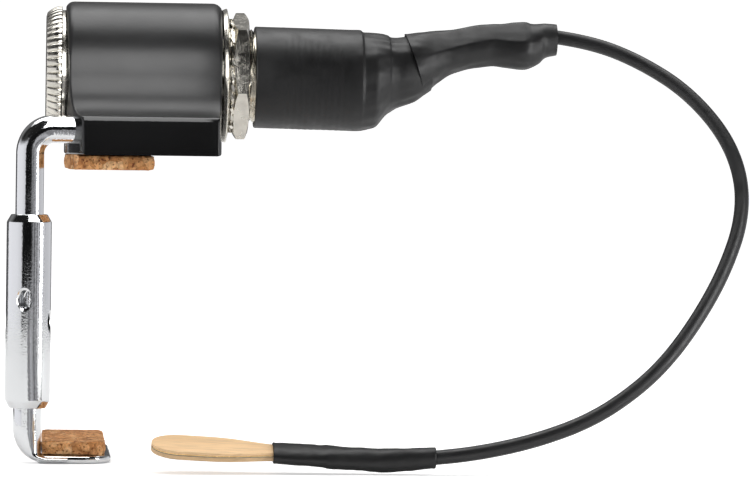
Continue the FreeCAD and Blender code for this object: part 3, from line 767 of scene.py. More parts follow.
class PICKUP_OT_lead(bpy.types.Operator):
    """Add the thin lead on its route from the jack's tail to the leaf"""
    bl_idname = "pickup.lead"
    bl_label = "Lead"

    def execute(self, context):
        settings = context.scene.pickup_lead
        curve = bpy.data.curves.new("thin_lead", "CURVE")
        curve.dimensions = "3D"
        spline = curve.splines.new("NURBS")
        spline.points.add(len(LEAD_ROUTE) - 1)
        for point, where in zip(spline.points, LEAD_ROUTE):
            point.co = (*(Vector(where) * MM), 1)
        spline.order_u = 3
        spline.use_endpoint_u = True
        spline.resolution_u = 16
        curve.bevel_depth = settings.radius
        curve.bevel_resolution = 8
        curve.use_fill_caps = True
        curve.materials.append(jacket_finish(settings.black))
        lead = linked("thin_lead", curve)
        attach(lead, "main")
        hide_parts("lead")
        return {"FINISHED"}


# Housing and pads

def arc_points(centre, radius, start, stop, parts):
    return [(centre[0] + radius * math.cos(start + (stop - start) * k / parts),
             centre[1] + radius * math.sin(start + (stop - start) * k / parts)) for k in range(parts + 1)]


def housing_outline(settings):
    """The housing's end view as (y, z) points: round top, flared flanks and a wide base."""
    low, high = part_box("housing")
    foot, bottom = high.y, low.z
    reach = settings.half - settings.dome
    fall = JACK_Z - settings.side
    flare = (reach ** 2 + fall ** 2) / (2 * reach)
    hub = (settings.dome + flare, JACK_Z)
    corner = math.atan2(-fall, settings.half - hub[0]) % math.tau
    cut = settings.shoulder
    share = (settings.side - cut - bottom) / (settings.side - bottom)
    out, up = (settings.half - foot) * share, (settings.side - bottom) * share
    side = [(foot + out * k / 8, bottom + up * k / 8) for k in range(9)]
    arc = arc_points(hub, flare, corner - cut / flare, math.pi, 16)[:-1]
    start, edge, end = Vector(side[-1]), Vector((settings.half, settings.side)), Vector(arc[0])
    right = side + [bent(start, edge, end, k / 6) for k in range(1, 6)] + arc
    right += arc_points((0, JACK_Z), settings.dome, 0, math.pi / 2, 24)
    left = [(-y, z) for y, z in reversed(right[:-1])]
    under = [(-foot + 2 * foot * k / 16, bottom) for k in range(1, 16)]
    return right + left + under


def outward(outline):
    """Unit vectors that point out of an outline at its points."""
    ways = []
    for i in range(len(outline)):
        before, after = outline[i - 1], outline[(i + 1) % len(outline)]
        ways.append(Vector((after[1] - before[1], before[0] - after[0])).normalized())
    return ways


def housing_rings(settings):
    """The housing's outline at stations from its outer end to its back."""
    low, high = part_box("housing")
    outline = housing_outline(settings)
    ways = outward(outline)
    foot = high.y

    def ring(scale, angle, end):
        points = []
        for (y, z), way in zip(outline, ways):
            big = settings.outer_round if end == "outer" else settings.back_round
            radius = settings.rim + (big - settings.rim) * eased((z - JACK_Z - 1 * MM) / (7 * MM))
            inset = radius * (1 - math.sin(angle))
            py, pz = (y - way.x * inset) * scale, 6 * MM + (z - way.y * inset - 6 * MM) * scale
            setback = radius * (1 - math.cos(angle))
            if end == "outer":
                x = low.x + settings.bow * abs(py / foot) ** 3 + setback
            else:
                x = high.x - (settings.back_bow - math.sqrt(settings.back_bow ** 2 - py ** 2)) - setback
            points.append(Vector((x, py, pz)))
        return points

    scales = (0.04, 0.2, 0.4, 0.6, 0.8, 0.93)
    bends = [math.pi / 2 * k / 6 for k in range(7)]
    rings = [ring(s, 0, "outer") for s in scales] + [ring(1, a, "outer") for a in bends]
    back = [ring(1, a, "back") for a in reversed(bends)] + [ring(s, 0, "back") for s in reversed(scales)]
    middle_rings = [[a.lerp(b, k / 6) for a, b in zip(rings[-1], back[0])] for k in range(1, 6)]
    return rings + middle_rings + back


def ring_body(rings):
    """A closed body extruded through rings of points."""
    bm = bmesh.new()
    verts = bmesh.ops.create_circle(bm, segments=len(rings[0]), radius=1)["verts"]
    edges = list({e for v in verts for e in v.link_edges})
    bmesh.ops.contextual_create(bm, geom=edges)
    number = {v: i for i, v in enumerate(verts)}
    for v, i in number.items():
        v.co = rings[0][i]
    for points in rings[1:]:
        edges = new_edges(bmesh.ops.extrude_edge_only(bm, edges=edges))
        fresh = {v for e in edges for v in e.verts}
        moved = {}
        for v in fresh:
            for e in v.link_edges:
                if e.other_vert(v) in number:
                    moved[v] = number[e.other_vert(v)]
        number = moved
        for v, i in number.items():
            v.co = points[i]
    bmesh.ops.contextual_create(bm, geom=edges)
    bmesh.ops.recalc_face_normals(bm, faces=bm.faces)
    return bm


def bar(x0, x1, y, z, radius, segments=96):
    """A round bar along X to cut with."""
    bm = bmesh.new()
    matrix = Matrix.Translation(((x0 + x1) / 2, y, z)) @ Matrix.Rotation(math.pi / 2, 4, "Y")
    bmesh.ops.create_cone(bm, cap_ends=True, segments=segments, radius1=radius, radius2=radius,
                          depth=x1 - x0, matrix=matrix)
    return bm


class PICKUP_OT_housing(bpy.types.Operator):
    """Add the moulded black housing"""
    bl_idname = "pickup.housing"
    bl_label = "Housing"

    def execute(self, context):
        settings = context.scene.pickup_housing
        low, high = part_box("housing")
        rod_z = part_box("near_upper_post")[1].z - context.scene.pickup_clamp.rod
        rod = context.scene.pickup_clamp.rod + 0.01 * MM
        before, after, seat = low.x - 1 * MM, high.x + 1 * MM, low.x + settings.recess_deep
        stepped = [(before, 0), (before, settings.recess), (seat, settings.recess), (seat, settings.bore),
                   (after, settings.bore), (after, 0)]
        tools = [on_jack(stepped, closed=False)]
        for y in (NEAR_LEG_Y, FAR_LEG_Y):
            tools.append(bar(before - 1 * MM, low.x + settings.socket, y, rod_z, rod, 64))
        mesh = carved(ring_body(housing_rings(settings)), tools, "black_housing")
        dress("black_housing", mesh, "main", housing_finish(settings), ["housing"], sharp=38)
        return {"FINISHED"}


def cork_pad(node, settings, convex_end=0.0, corner=0.0):
    """A slab with granules, pits and worn edges, in the box of its solid."""
    low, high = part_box(node)
    size = high - low
    bm = bmesh.new()
    bmesh.ops.create_cube(bm, size=1, matrix=Matrix.Translation((low + high) / 2)
                          @ Matrix.Diagonal((*size, 1)))
    for axis in range(3):
        normal = Vector([axis == i for i in range(3)])
        cuts = max(3, round(size[axis] / settings.step))
        for k in range(1, cuts):
            plane = low + size * (k / cuts)
            bmesh.ops.bisect_plane(bm, geom=bm.verts[:] + bm.edges[:] + bm.faces[:], plane_co=plane,
                                   plane_no=normal, dist=1e-7)
    centre = (low + high) / 2
    for v in bm.verts:
        v.co.x += convex_end * ((v.co.y - centre.y) / (size.y / 2)) ** 2 * (high.x - v.co.x) / size.x
    if corner:
        round_front_corners(bm, high, centre, size, corner)
    bm.normal_update()
    moves = {v: cork_move(v, low, high, settings) for v in bm.verts}
    for v, move in moves.items():
        v.co += move
        for i in range(3):
            v.co[i] = max(low[i], min(high[i], v.co[i]))
    return bm


def round_front_corners(bm, high, centre, size, radius):
    """Draws the two corners at the high end in to arcs."""
    half = size.y / 2
    for v in bm.verts:
        over_x = v.co.x - (high.x - radius)
        over_y = abs(v.co.y - centre.y) - (half - radius)
        if over_x > 0 and over_y > 0:
            far = max(over_x, over_y)
            scale = far / math.hypot(over_x, over_y)
            v.co.x = high.x - radius + over_x * scale
            side = 1 if v.co.y > centre.y else -1
            v.co.y = centre.y + side * (half - radius + over_y * scale)


def cork_move(v, low, high, settings):
    """How far one point of the cork's surface is worn, pitted or rough."""
    grain = settings.grain
    rough = 0.5 + 0.5 * lumpy(v.co, 0.5 * grain, 3)
    crumb = max(0.0, lumpy(v.co, 0.9 * grain, 17) - 0.28)
    pit = max(0.0, lumpy(v.co, 2.2 * grain, 41) - 0.42)
    near = sorted(min(v.co[i] - low[i], high[i] - v.co[i]) for i in range(3))
    edge = max(0.0, 1 - (near[0] + near[1]) / (0.8 * grain))
    wear = edge * settings.wear * (0.5 + rough)
    deep = 0.12 * settings.pits * rough + settings.pits * (1.1 * crumb + 2.2 * pit) + wear
    return -v.normal * deep


class PICKUP_OT_cork(bpy.types.Operator):
    """Add the two cork pads"""
    bl_idname = "pickup.cork"
    bl_label = "Cork pads"

    def execute(self, context):
        settings = context.scene.pickup_cork
        finish = cork_finish(settings.grain)
        upper = cork_pad("upper_cork_pad", settings, convex_end=1.65 * MM)
        new_piece("housing_cork", upper, "main", finish, ["upper_cork_pad"], sharp=60)
        lower = cork_pad("lower_cork_pad", settings, corner=2.4 * MM)
        new_piece("foot_cork", lower, "foot", finish, ["lower_cork_pad"], sharp=60)
        return {"FINISHED"}


# Clamp

def upper_post(y, settings):
    """A bent rod from the turnbuckle up and into the housing."""
    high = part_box("near_upper_post")[1]
    radius, bend = settings.rod, settings.bend
    knee = high.z - radius - bend
    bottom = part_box("near_turnbuckle")[1].z - settings.post_end
    start = place(Vector((LEG_X, y, bottom)), Vector((radius, 0, 0)), Vector((0, radius, 0)))
    places = [start, Matrix.Translation((0, 0, knee - bottom)) @ start]
    hub = Matrix.Translation((LEG_X + bend, y, knee))
    for k in range(1, 25):
        turn_matrix = hub @ Matrix.Rotation(math.pi / 2 * k / 24, 4, "Y") @ hub.inverted()
        places.append(turn_matrix @ places[1])
    places.append(Matrix.Translation((high.x - LEG_X - bend, 0, 0)) @ places[-1])
    return skin(places, 64)


def hole_tool(y, z, angle, settings, barrel):
    """A cross hole with a countersink at both mouths, as a body to cut with."""
    way = Vector((math.cos(angle), math.sin(angle), 0))
    mouth = barrel - settings.hole_sink
    far = barrel + settings.hole_sink
    wide = settings.hole + far - mouth
    profile = [(-far, 0), (-far, wide), (-mouth, settings.hole), (mouth, settings.hole), (far, wide),
               (far, 0)]
    bm = turned(profile, Vector((LEG_X, y, z)), way, Vector((0, 0, 1)), 64, closed=False)
    bmesh.ops.scale(bm, vec=(1, 1, settings.hole_tall), space=Matrix.Translation((0, 0, -z)),
                    verts=bm.verts)
    return bm


def turnbuckle(node, settings, angle, drop):
    """A barrel with turned ends and two cross holes, hung a little below its solid."""
    low, high = (corner - Vector((0, 0, drop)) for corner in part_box(node))
    centre = (low + high) / 2
    radius = (high.x - low.x) / 2
    half = (high.z - low.z) / 2
    bore = settings.rod + 0.03 * MM
    slope = radius - settings.chamfer_in
    profile = [
        (-half, bore), (-half, slope), (-half + settings.chamfer_long, radius),
        (half - settings.chamfer_long, radius), (half, slope), (half, bore),
    ]
    body = turned(softened(profile, 0.09 * MM, 3), centre, Vector((0, 0, 1)), Vector((1, 0, 0)), 160)
    upper = hole_tool(centre.y, high.z - settings.upper_hole, math.radians(270) - angle, settings, radius)
    lower = hole_tool(centre.y, high.z - settings.lower_hole, -angle, settings, radius)
    return carved(body, [upper, lower], node + "_barrel")


def threaded(bm, axis_x, y, low, high, pitch, crest, deep):
    """Presses a helical thread into the points of a post between two heights."""
    for v in bm.verts:
        if low < v.co.z < high:
            away = Vector((v.co.x - axis_x, v.co.y - y, 0))
            if not 0.5 * crest < away.length < 2 * crest:
                continue
            phase = (v.co.z / pitch + math.atan2(away.y, away.x) / math.tau) % 1
            radius = crest - deep * (1 - abs(2 * phase - 1))
            away = away.normalized() * radius
            v.co.x, v.co.y = axis_x + away.x, y + away.y


def lower_post(bm, y, settings):
    """A threaded post that bends into the foot plate at its toe."""
    radius, toe = settings.rod, settings.toe
    turn_x, turn_z = LEG_X - radius + toe, FLOOR_Z + toe
    shank_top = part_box("near_turnbuckle")[0].z + 0.5 * MM
    step = settings.pitch / 8
    places = []

    def ring(outer, inner, half):
        a, b = Vector((outer[0], y, outer[1])), Vector((inner[0], y, inner[1]))
        places.append(place((a + b) / 2, (b - a) / 2, Vector((0, half, 0))))

    rings = round((FOOT_HIGH.z - shank_top) / step)
    crest = settings.thread
    for k in range(rings + 1):
        z = FOOT_HIGH.z - k * step
        ring((LEG_X - crest, z), (LEG_X + crest, z), crest)
    for z in (shank_top - 0.1 * MM, turn_z + 0.2 * MM, turn_z):
        ring((LEG_X - radius, z), (LEG_X + radius, z), radius)
    plate_top = FLOOR_Z + settings.plate
    corner_z = plate_top + 0.25 * MM
    for k in range(1, 25):
        t = k / 24
        angle = math.pi / 2 * t
        outer = (turn_x - toe * math.cos(angle), turn_z - toe * math.sin(angle))
        fall = eased(t / 0.62)
        inner_x = LEG_X + radius + (turn_x - LEG_X - radius) * eased((t - 0.55) / 0.45)
        inner_z = turn_z + (corner_z - turn_z) * fall - 0.25 * MM * eased((t - 0.5) / 0.5)
        ring(outer, (inner_x, inner_z), radius * (1 + 0.25 * eased((t - 0.5) / 0.5)))
    end_x = turn_x + 2.5 * MM
    ring((end_x, FLOOR_Z + 0.02 * MM), (end_x, plate_top - 0.02 * MM), 1.3 * radius)
    skin(places, 64, bm=bm)
    threaded(bm, LEG_X, y, shank_top, FOOT_HIGH.z - 0.2 * MM, settings.pitch, crest, settings.thread_deep)


def foot_plate(bm, settings):
    """The flat foot, with round front corners and a rolled rim."""
    x0 = LEG_X + settings.plate_back
    x1 = FOOT_HIGH.x
    half = FOOT_HIGH.y
    centre = Vector(((x0 + x1) / 2, 0, FLOOR_Z + settings.plate / 2))
    size = (x1 - x0, 2 * half, settings.plate)
    made = bmesh.ops.create_cube(bm, size=1, matrix=Matrix.Translation(centre) @ Matrix.Diagonal((*size, 1)))
    verts = made["verts"]
    upright = [e for e in {e for v in verts for e in v.link_edges}
               if abs(e.verts[0].co.z - e.verts[1].co.z) > 0.5 * settings.plate]
    front = [e for e in upright if e.verts[0].co.x > centre.x]
    bmesh.ops.bevel(bm, geom=front, offset=settings.plate_corner, offset_type="OFFSET", segments=12,
                    profile=0.5, affect="EDGES", material=-1)
    rim = [e for e in bm.edges if e.verts[0].co.x > x0 - 1e-6 and e.verts[1].co.x > x0 - 1e-6
           and abs(e.verts[0].co.z - e.verts[1].co.z) < 1e-7 and len(e.link_faces) == 2
           and e.calc_face_angle() > 1.2 and abs(abs(e.verts[0].co.z - centre.z) - settings.plate / 2) < 1e-6]
    bmesh.ops.bevel(bm, geom=rim, offset=0.42 * settings.plate, offset_type="OFFSET", segments=5,
                    profile=0.5, affect="EDGES", material=-1)


class PICKUP_OT_clamp(bpy.types.Operator):
    """Add the chromed posts, turnbuckles and foot"""
    bl_idname = "pickup.clamp"
    bl_label = "Clamp"

    def execute(self, context):
        settings = context.scene.pickup_clamp
        chrome = chrome_finish(settings.chrome)
        for side, y, angle, drop in (("near", NEAR_LEG_Y, settings.near_turn, 0.0),
                                     ("far", FAR_LEG_Y, settings.far_turn, settings.far_drop)):
            new_piece(f"{side}_bent_post", upper_post(y, settings), "main", chrome,
                      [f"{side}_upper_post"])
            barrel = turnbuckle(f"{side}_turnbuckle", settings, angle, drop)
            dress(f"{side}_barrel_nut", barrel, f"{side}_barrel", chrome,
                  [f"{side}_turnbuckle"], sharp=28)
        bm = bmesh.new()
        foot_plate(bm, settings)
        lower_post(bm, NEAR_LEG_Y, settings)
        lower_post(bm, FAR_LEG_Y, settings)
        new_piece("chromed_foot", bm, "foot", chrome, ["foot_bracket"], sharp=40)
        return {"FINISHED"}


# Jack

def knurled_nut(settings):
    """A round nut with a crowned, ribbed rim and a plain collar."""
    low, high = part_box("knurled_nut")
    x0, x1 = low.x, high.x
    rim = (high.z - low.z) / 2
    bore = THREAD_RADIUS + 0.02 * MM
    band_end = x0 + 1.9 * MM
    face = rim - 1.0 * MM
    crown = []
    for k in range(15):
        t = k / 14
        crown.append((x0 + (band_end - x0) * t, face + (rim - face) * math.sin(0.5 * math.pi * t) ** 0.8))
    collar = rim - 0.5 * MM
    profile = [(x0, bore + 0.25 * MM), (x0, face - 0.35 * MM)]
    profile += [(x0 + 0.06 * MM, face - 0.12 * MM)] + crown[1:]
    profile += [(band_end + 0.12 * MM, rim - 0.1 * MM), (band_end + 0.16 * MM, collar),
                (x1 - 0.1 * MM, collar), (x1, collar - 0.1 * MM), (x1, bore), (x0 + 0.25 * MM, bore)]
    bm = on_jack(profile, settings.knurls * 8)
    for v in bm.verts:
        y, z = v.co.y, v.co.z - JACK_Z
        radius = math.hypot(y, z)
        if radius > face and v.co.x < band_end + 0.14 * MM:
            ridge = abs(math.sin(0.5 * settings.knurls * math.atan2(z, y)))
            shrink = 1 - settings.knurl_deep * (1 - ridge) ** 2.6 / radius
            v.co.y, v.co.z = y * shrink, JACK_Z + z * shrink
    return bm


def flat_washer():
    """A washer with a narrow rim and a wide bevel towards the nut."""
    low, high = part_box("flat_washer")
    face = high.x - 0.15 * MM
    rim = (high.z - low.z) / 2
    bore = THREAD_RADIUS + 0.1 * MM
    profile = [(low.x, bore), (low.x, rim - 0.2 * MM), (low.x + 0.5 * MM, rim),
               (low.x + 0.58 * MM, rim - 0.1 * MM), (face, rim - 1.6 * MM), (face, bore)]
    return on_jack(softened(profile, 0.06 * MM, 3), 160)


def back_nut(settings):
    """The hexagonal nut of the frame, turned and drawn in."""
    bm = merged_copy("hex_nut")
    turned_by = Matrix.Rotation(settings.nut_turn, 3, "X")
    bmesh.ops.rotate(bm, cent=(0, 0, JACK_Z), matrix=turned_by, verts=bm.verts)
    bmesh.ops.translate(bm, vec=(-settings.nut_in, 0, 0), verts=bm.verts)
    return bm


def jack_sleeve(settings):
    """The jack's threaded sleeve, with its thread cut where it shows behind the back nut."""
    x0, x1 = BARREL_LOW.x, BARREL_HIGH.x
    thread_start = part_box("hex_nut")[0].x
    thread_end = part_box("large_shrink_tube")[0].x + 1.5 * MM
    step = settings.pitch / 10
    rings = round((thread_end - thread_start) / step)
    root = THREAD_RADIUS
    outside = [(x0 + 0.35 * MM, root)]
    outside += [(thread_start + k * step, root) for k in range(rings + 1)] + [(x1, root)]
    lip = 0.5 * MM
    inside = [(x1, settings.seat_radius), (x1 - settings.seat, settings.seat_radius),
              (x1 - settings.seat, settings.room), (x0 + settings.plug_depth, settings.room),
              (x0 + settings.plug_depth, settings.plug), (x0 + lip, settings.plug),
              (x0 + 0.1 * MM, settings.plug + 0.8 * lip), (x0, settings.plug + lip), (x0, root - 0.35 * MM)]
    bm = on_jack(outside + inside, 128)
    for v in bm.verts:
        y, z = v.co.y, v.co.z - JACK_Z
        if math.hypot(y, z) > root - 0.1 * MM and thread_start < v.co.x < thread_end + 0.5 * step:
            phase = (v.co.x / settings.pitch + math.atan2(z, y) / math.tau) % 1
            scale = 1 - settings.thread_deep * (1 - abs(2 * phase - 1)) / root
            v.co.y, v.co.z = y * scale, JACK_Z + z * scale
    return bm


class PICKUP_OT_jack(bpy.types.Operator):
    """Add the jack's sleeve, nuts and washers, and finish its inner fittings"""
    bl_idname = "pickup.jack"
    bl_label = "Jack"

    def execute(self, context):
        settings = context.scene.pickup_jack
        nickel = nickel_finish(settings.nickel)
        new_piece("ribbed_nut", knurled_nut(settings), "main", nickel, ["knurled_nut"], sharp=50)
        new_piece("bevelled_washer", flat_washer(), "main", nickel, ["flat_washer"], sharp=30)
        teeth = merged_copy("lock_washer")
        bmesh.ops.translate(teeth, vec=(-0.5 * settings.nut_in, 0, 0), verts=teeth.verts)
        new_piece("toothed_washer", teeth, "main", nickel, ["lock_washer"])
        brushed = nickel_finish(settings.nickel, "brushed nickel", (1, 0.06, 0.06))
        new_piece("back_nut", back_nut(settings), "main", brushed, ["hex_nut"], sharp=25)
        new_piece("threaded_sleeve", jack_sleeve(settings), "main", nickel, ["jack_barrel"],
                  sharp=30)
        brass = metal_finish("contact brass", (0.72, 0.56, 0.28), 0.25, 1.2 * MM)
        copper = metal_finish("bare copper", (0.76, 0.4, 0.22), 0.3, 0.8 * MM)
        solder = metal_finish("solder", (0.6, 0.6, 0.61), 0.28, 0.5 * MM)
        finishes = {
            "rear_insulator": phenolic_finish(), "contact_spring": brass, "ground_tag": brass,
            "lead_core": copper, "lead_screen": copper, "lead_end_wires": copper, "solder_joints": solder,
            "lead_inner_run": jacket_finish(context.scene.pickup_lead.black),
        }
        for node, finish in finishes.items():
            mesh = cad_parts[node].data
            mesh.materials.clear()
            mesh.materials.append(finish)
        return {"FINISHED"}


# Shrink tubes, as (distance behind the sleeve's end, rise, radius) in millimetres
LARGE_TAIL = [(1.0, -0.37, 6.42), (1.9, -0.37, 6.35), (2.3, -0.49, 6.17), (3.1, -0.45, 6.05),
              (3.9, -0.35, 5.9), (4.7, 0.06, 5.42), (5.4, 0.34, 4.99), (5.8, 0.38, 4.74), (6.6, 0.61, 4.51),
              (7.8, 0.93, 4.37), (9.2, 1.25, 4.05), (11.0, 1.9, 3.4)]
SMALL_TAIL = [(6.6, 0.75, 4.95), (8.0, 1.05, 4.65), (10.0, 1.9, 4.05), (11.5, 2.6, 3.5), (13.3, 3.33, 2.9),
              (16.0, 4.04, 2.72), (18.6, 4.38, 2.67), (20.4, 4.33, 2.8), (22.7, 4.35, 3.03),
              (23.7, 4.35, 2.82), (24.7, 4.6, 2.55), (25.5, 5.0, 2.2), (26.9, 5.15, 2.0)]
SMALL_MOUTH = ((7.6, 5.6), (10.1, -2.1))


def tail_place(x, rise, radius):
    origin = Vector((BARREL_HIGH.x + x * MM, 0, JACK_Z + rise * MM))
    return place(origin, Vector((0, radius * MM, 0)), Vector((0, 0, radius * MM)))


def large_tube(settings):
    """The larger tube: straight over the thread, then drawn in over the solder tags."""
    start = (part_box("large_shrink_tube")[0].x - BARREL_HIGH.x) / MM - 0.35
    wall = settings.wall / MM
    radius = LARGE_TAIL[0][2]
    sag = settings.sag / MM
    rings = [(start + 1.2, -sag, radius - wall), (start, -sag, radius - wall), (start, -sag, radius - 0.12),
             (start + 0.12, -sag, radius)]
    straight = round((LARGE_TAIL[0][0] - start) / 0.11)
    for k in range(straight):
        t = k / straight
        x = start + 0.2 + (LARGE_TAIL[0][0] - start - 0.3) * t
        rings.append((x, -sag + (LARGE_TAIL[0][1] + sag) * t, radius))
    rings += through(LARGE_TAIL, 10)
    bm = skin([tail_place(*ring) for ring in rings], 128, caps=False)
    pitch = bpy.context.scene.pickup_jack.pitch
    rib_end = BARREL_HIGH.x + 0.3 * MM
    for v in bm.verts:
        y, z = v.co.y, v.co.z - JACK_Z
        reach = math.hypot(y, z)
        if reach < (radius - 0.2) * MM and v.co.x < rib_end:
            continue
        angle = math.atan2(z, y)
        shown = eased((rib_end - v.co.x) / (1 * MM)) * eased((v.co.x - rib_end + 9.5 * MM) / (2 * MM))
        shown *= 0.6 + 0.4 * lumpy(v.co, 5 * MM, 5)
        rib = settings.rib * shown * math.sin(math.tau * v.co.x / pitch + angle)
        tail = eased((v.co.x - rib_end) / (3 * MM))
        fold = tail * settings.fold * lumpy((v.co.x * 0.6, y * 2.2, z * 2.2), 2.6 * MM, 9)
        lump = settings.lump * lumpy(v.co, 4 * MM, 2) * (0.25 + tail)
        v.co += Vector((0, y, z)).normalized() * (rib + fold + lump)
    return bm


def flatten(v, along, settings):
    """Draws a point of the small tube's upper flank in to a flat."""
    facing, depth = 0.72, 0.86
    first, last = 8.5, 24.5
    for before, after in zip(SMALL_TAIL, SMALL_TAIL[1:]):
        if before[0] <= along <= after[0]:
            t = (along - before[0]) / (after[0] - before[0])
            rise = before[1] + (after[1] - before[1]) * t
            radius = (before[2] + (after[2] - before[2]) * t) * MM
            break
    else:
        return
    rise = JACK_Z + rise * MM
    way = Vector((0, -math.cos(facing), math.sin(facing)))
    out = Vector((0, v.co.y, v.co.z - rise)).dot(way)
    limit = radius * depth
    if out > limit:
        amount = settings.flat * eased((along - first) / 3) * eased((last - along) / 2)
        v.co -= way * (out - limit) * amount


def small_tube(settings):
    """The second tube: a slanted mouth over the first one, lumps, and a tight end on the lead."""
    rings = through(SMALL_TAIL, 10)
    bm = skin([tail_place(*ring) for ring in rings], 96, caps=False)
    for v in bm.verts:
        rise = v.co.z - JACK_Z
        away = Vector((0, v.co.y, rise - 4 * MM)).normalized()
        along = (v.co.x - BARREL_HIGH.x) / MM
        swell = settings.lump * (1.2 * lumpy(v.co, 3 * MM, 21) + 0.5 * lumpy(v.co, 1.2 * MM, 4))
        fold = settings.fold * 0.6 * lumpy((v.co.x * 0.5, v.co.y * 2.5, rise * 2.5), 2.2 * MM, 13)
        v.co += away * (swell + fold * eased((26 - along) / 4))
        flatten(v, along, settings)
    (top_x, top_z), (low_x, low_z) = SMALL_MOUTH
    way = Vector((top_x - low_x, 0, top_z - low_z)).normalized()
    normal = Vector((way.z, 0, -way.x))
    point = Vector((BARREL_HIGH.x + low_x * MM, 0, JACK_Z + low_z * MM))
    cut = bmesh.ops.bisect_plane(bm, geom=bm.verts[:] + bm.edges[:] + bm.faces[:], plane_co=point,
                                 plane_no=normal, clear_inner=True, dist=1e-7)
    rim = [g for g in cut["geom_cut"] if isinstance(g, bmesh.types.BMEdge)]
    inner = new_edges(bmesh.ops.extrude_edge_only(bm, edges=rim))
    verts = verts_of(inner)
    centre = sum((v.co for v in verts), Vector()) / len(verts)
    bmesh.ops.scale(bm, vec=(0.9, 0.9, 0.9), space=Matrix.Translation(-centre), verts=verts)
    close_on_lead(bm)
    return bm


def close_on_lead(bm):
    """Draws the small tube's end face in around the lead."""
    end = max(v.co.x for v in bm.verts)
    rim = [e for e in bm.edges if e.is_boundary and min(v.co.x for v in e.verts) > end - 0.3 * MM]
    hole = Vector(LEAD_ROUTE[0]) * MM
    radius = bpy.context.scene.pickup_lead.radius
    for depth, scale in ((0.05, 0.9), (-0.35, 0.52)):
        rim = new_edges(bmesh.ops.extrude_edge_only(bm, edges=rim))
        verts = verts_of(rim)
        centre = sum((v.co for v in verts), Vector()) / len(verts)
        for v in verts:
            if depth < 0:
                away = Vector((0, v.co.y - centre.y, v.co.z - centre.z)).normalized() * 1.04 * radius
                v.co = Vector((end + depth * MM, hole.y + away.y, hole.z + away.z))
            else:
                v.co = centre + (v.co - centre) * scale
                v.co.x = end


class PICKUP_OT_shrink(bpy.types.Operator):
    """Add the two shrink tubes over the jack's tail"""
    bl_idname = "pickup.shrink"
    bl_label = "Shrink tubes"

    def execute(self, context):
        settings = context.scene.pickup_shrink
        black = shrink_finish(settings.black)
        new_piece("larger_tube", large_tube(settings), "main", black,
                  ["large_shrink_tube"], sharp=60)
        new_piece("smaller_tube", small_tube(settings), "main", black,
                  ["small_shrink_tube"], sharp=60)
        sleeve = element_sleeve(settings, context.scene.pickup_leaf)
        new_piece("leaf_sleeve", sleeve, "main", black, ["element_sleeve"], sharp=60)
        return {"FINISHED"}


# Leaf and its sleeve

# The leaf's root is where its shank leaves the sleeve
LEAF_ROOT = Vector((20.2, -25.0, -33.95)) * MM
# The sleeve, as (distance behind the root, rise, half width, half thickness) in millimetres
SLEEVE = [(0.0, -0.02, 2.3, 1.12), (2.8, -0.17, 2.25, 1.15), (5.8, -0.35, 2.1, 1.2), (9.3, -0.6, 1.8, 1.35),
          (12.9, -0.83, 1.52, 1.45), (16.3, -0.7, 1.42, 1.4), (19.9, -0.45, 1.3, 1.3)]
# The leaf's edge, as (share of its reach, share of its growth in width)
LEAF_EDGE = [(0.0, 0.0), (0.06, 0.1), (0.2, 0.47), (0.33, 0.8), (0.46, 0.97), (0.6, 1.0), (0.76, 1.0)]


def leaf_matrix(settings):
    return (Matrix.Translation(LEAF_ROOT) @ Matrix.Rotation(settings.pitch, 4, "Y")
            @ Matrix.Rotation(settings.roll, 4, "X"))


def element_sleeve(settings, leaf):
    """The tube over the leaf's shank and the lead's end."""
    tilt = Matrix.Rotation(leaf.roll, 3, "X")
    stations = through(SLEEVE, 10)

    def drawn_in(station, along, wide, thick):
        return station[0] + along, station[1], station[2] - wide, station[3] - thick

    first, last = stations[0], stations[-1]
    rings = [drawn_in(first, 0.5, 0.55, 0.45), drawn_in(first, 0, 0.3, 0.3), drawn_in(first, 0, 0.08, 0.08),
             drawn_in(first, 0.08, 0, 0)] + stations[1:-1]
    rings += [drawn_in(last, -0.05, 0, 0), drawn_in(last, 0, 0.08, 0.08), drawn_in(last, 0, 0.36, 0.36),
              drawn_in(last, -0.5, 0.42, 0.42)]
    places = []
    for x, rise, wide, thick in rings:
        origin = LEAF_ROOT + Vector((x, 0, rise)) * MM
        places.append(place(origin, tilt @ Vector((0, wide * MM, 0)), tilt @ Vector((0, 0, thick * MM))))
    bm = skin(places, 72, caps=False)
    for v in bm.verts:
        along = (v.co.x - LEAF_ROOT.x) / MM
        away = Vector((0, v.co.y - LEAF_ROOT.y, v.co.z - (LEAF_ROOT.z - 0.6 * MM)))
        if 0.3 < along < 19.5 and away.length:
            ridge = settings.lump * (1.1 * lumpy(v.co, 2.4 * MM, 31) + 0.5 * lumpy(v.co, 0.9 * MM, 8))
            step = 0.1 * MM * eased((along - 6.0) / 0.6) * (1 - eased((along - 7.2) / 1.5))
            v.co += away.normalized() * (ridge + step)
    return bm


def leaf_half_width(x, settings):
    """Half of the leaf's width at a distance ahead of its root."""
    share = -x / settings.reach
    if share <= 0:
        return settings.shank
    tip, _ = LEAF_EDGE[-1]
    if share >= tip:
        return settings.half * math.sqrt(max(0.0, 1 - ((share - tip) / (1 - tip)) ** 2))
    for (a, low), (b, high) in zip(LEAF_EDGE, LEAF_EDGE[1:]):
        if a <= share <= b:
            grown = low + (high - low) * (share - a) / (b - a)
            return settings.shank + grown * (settings.half - settings.shank)


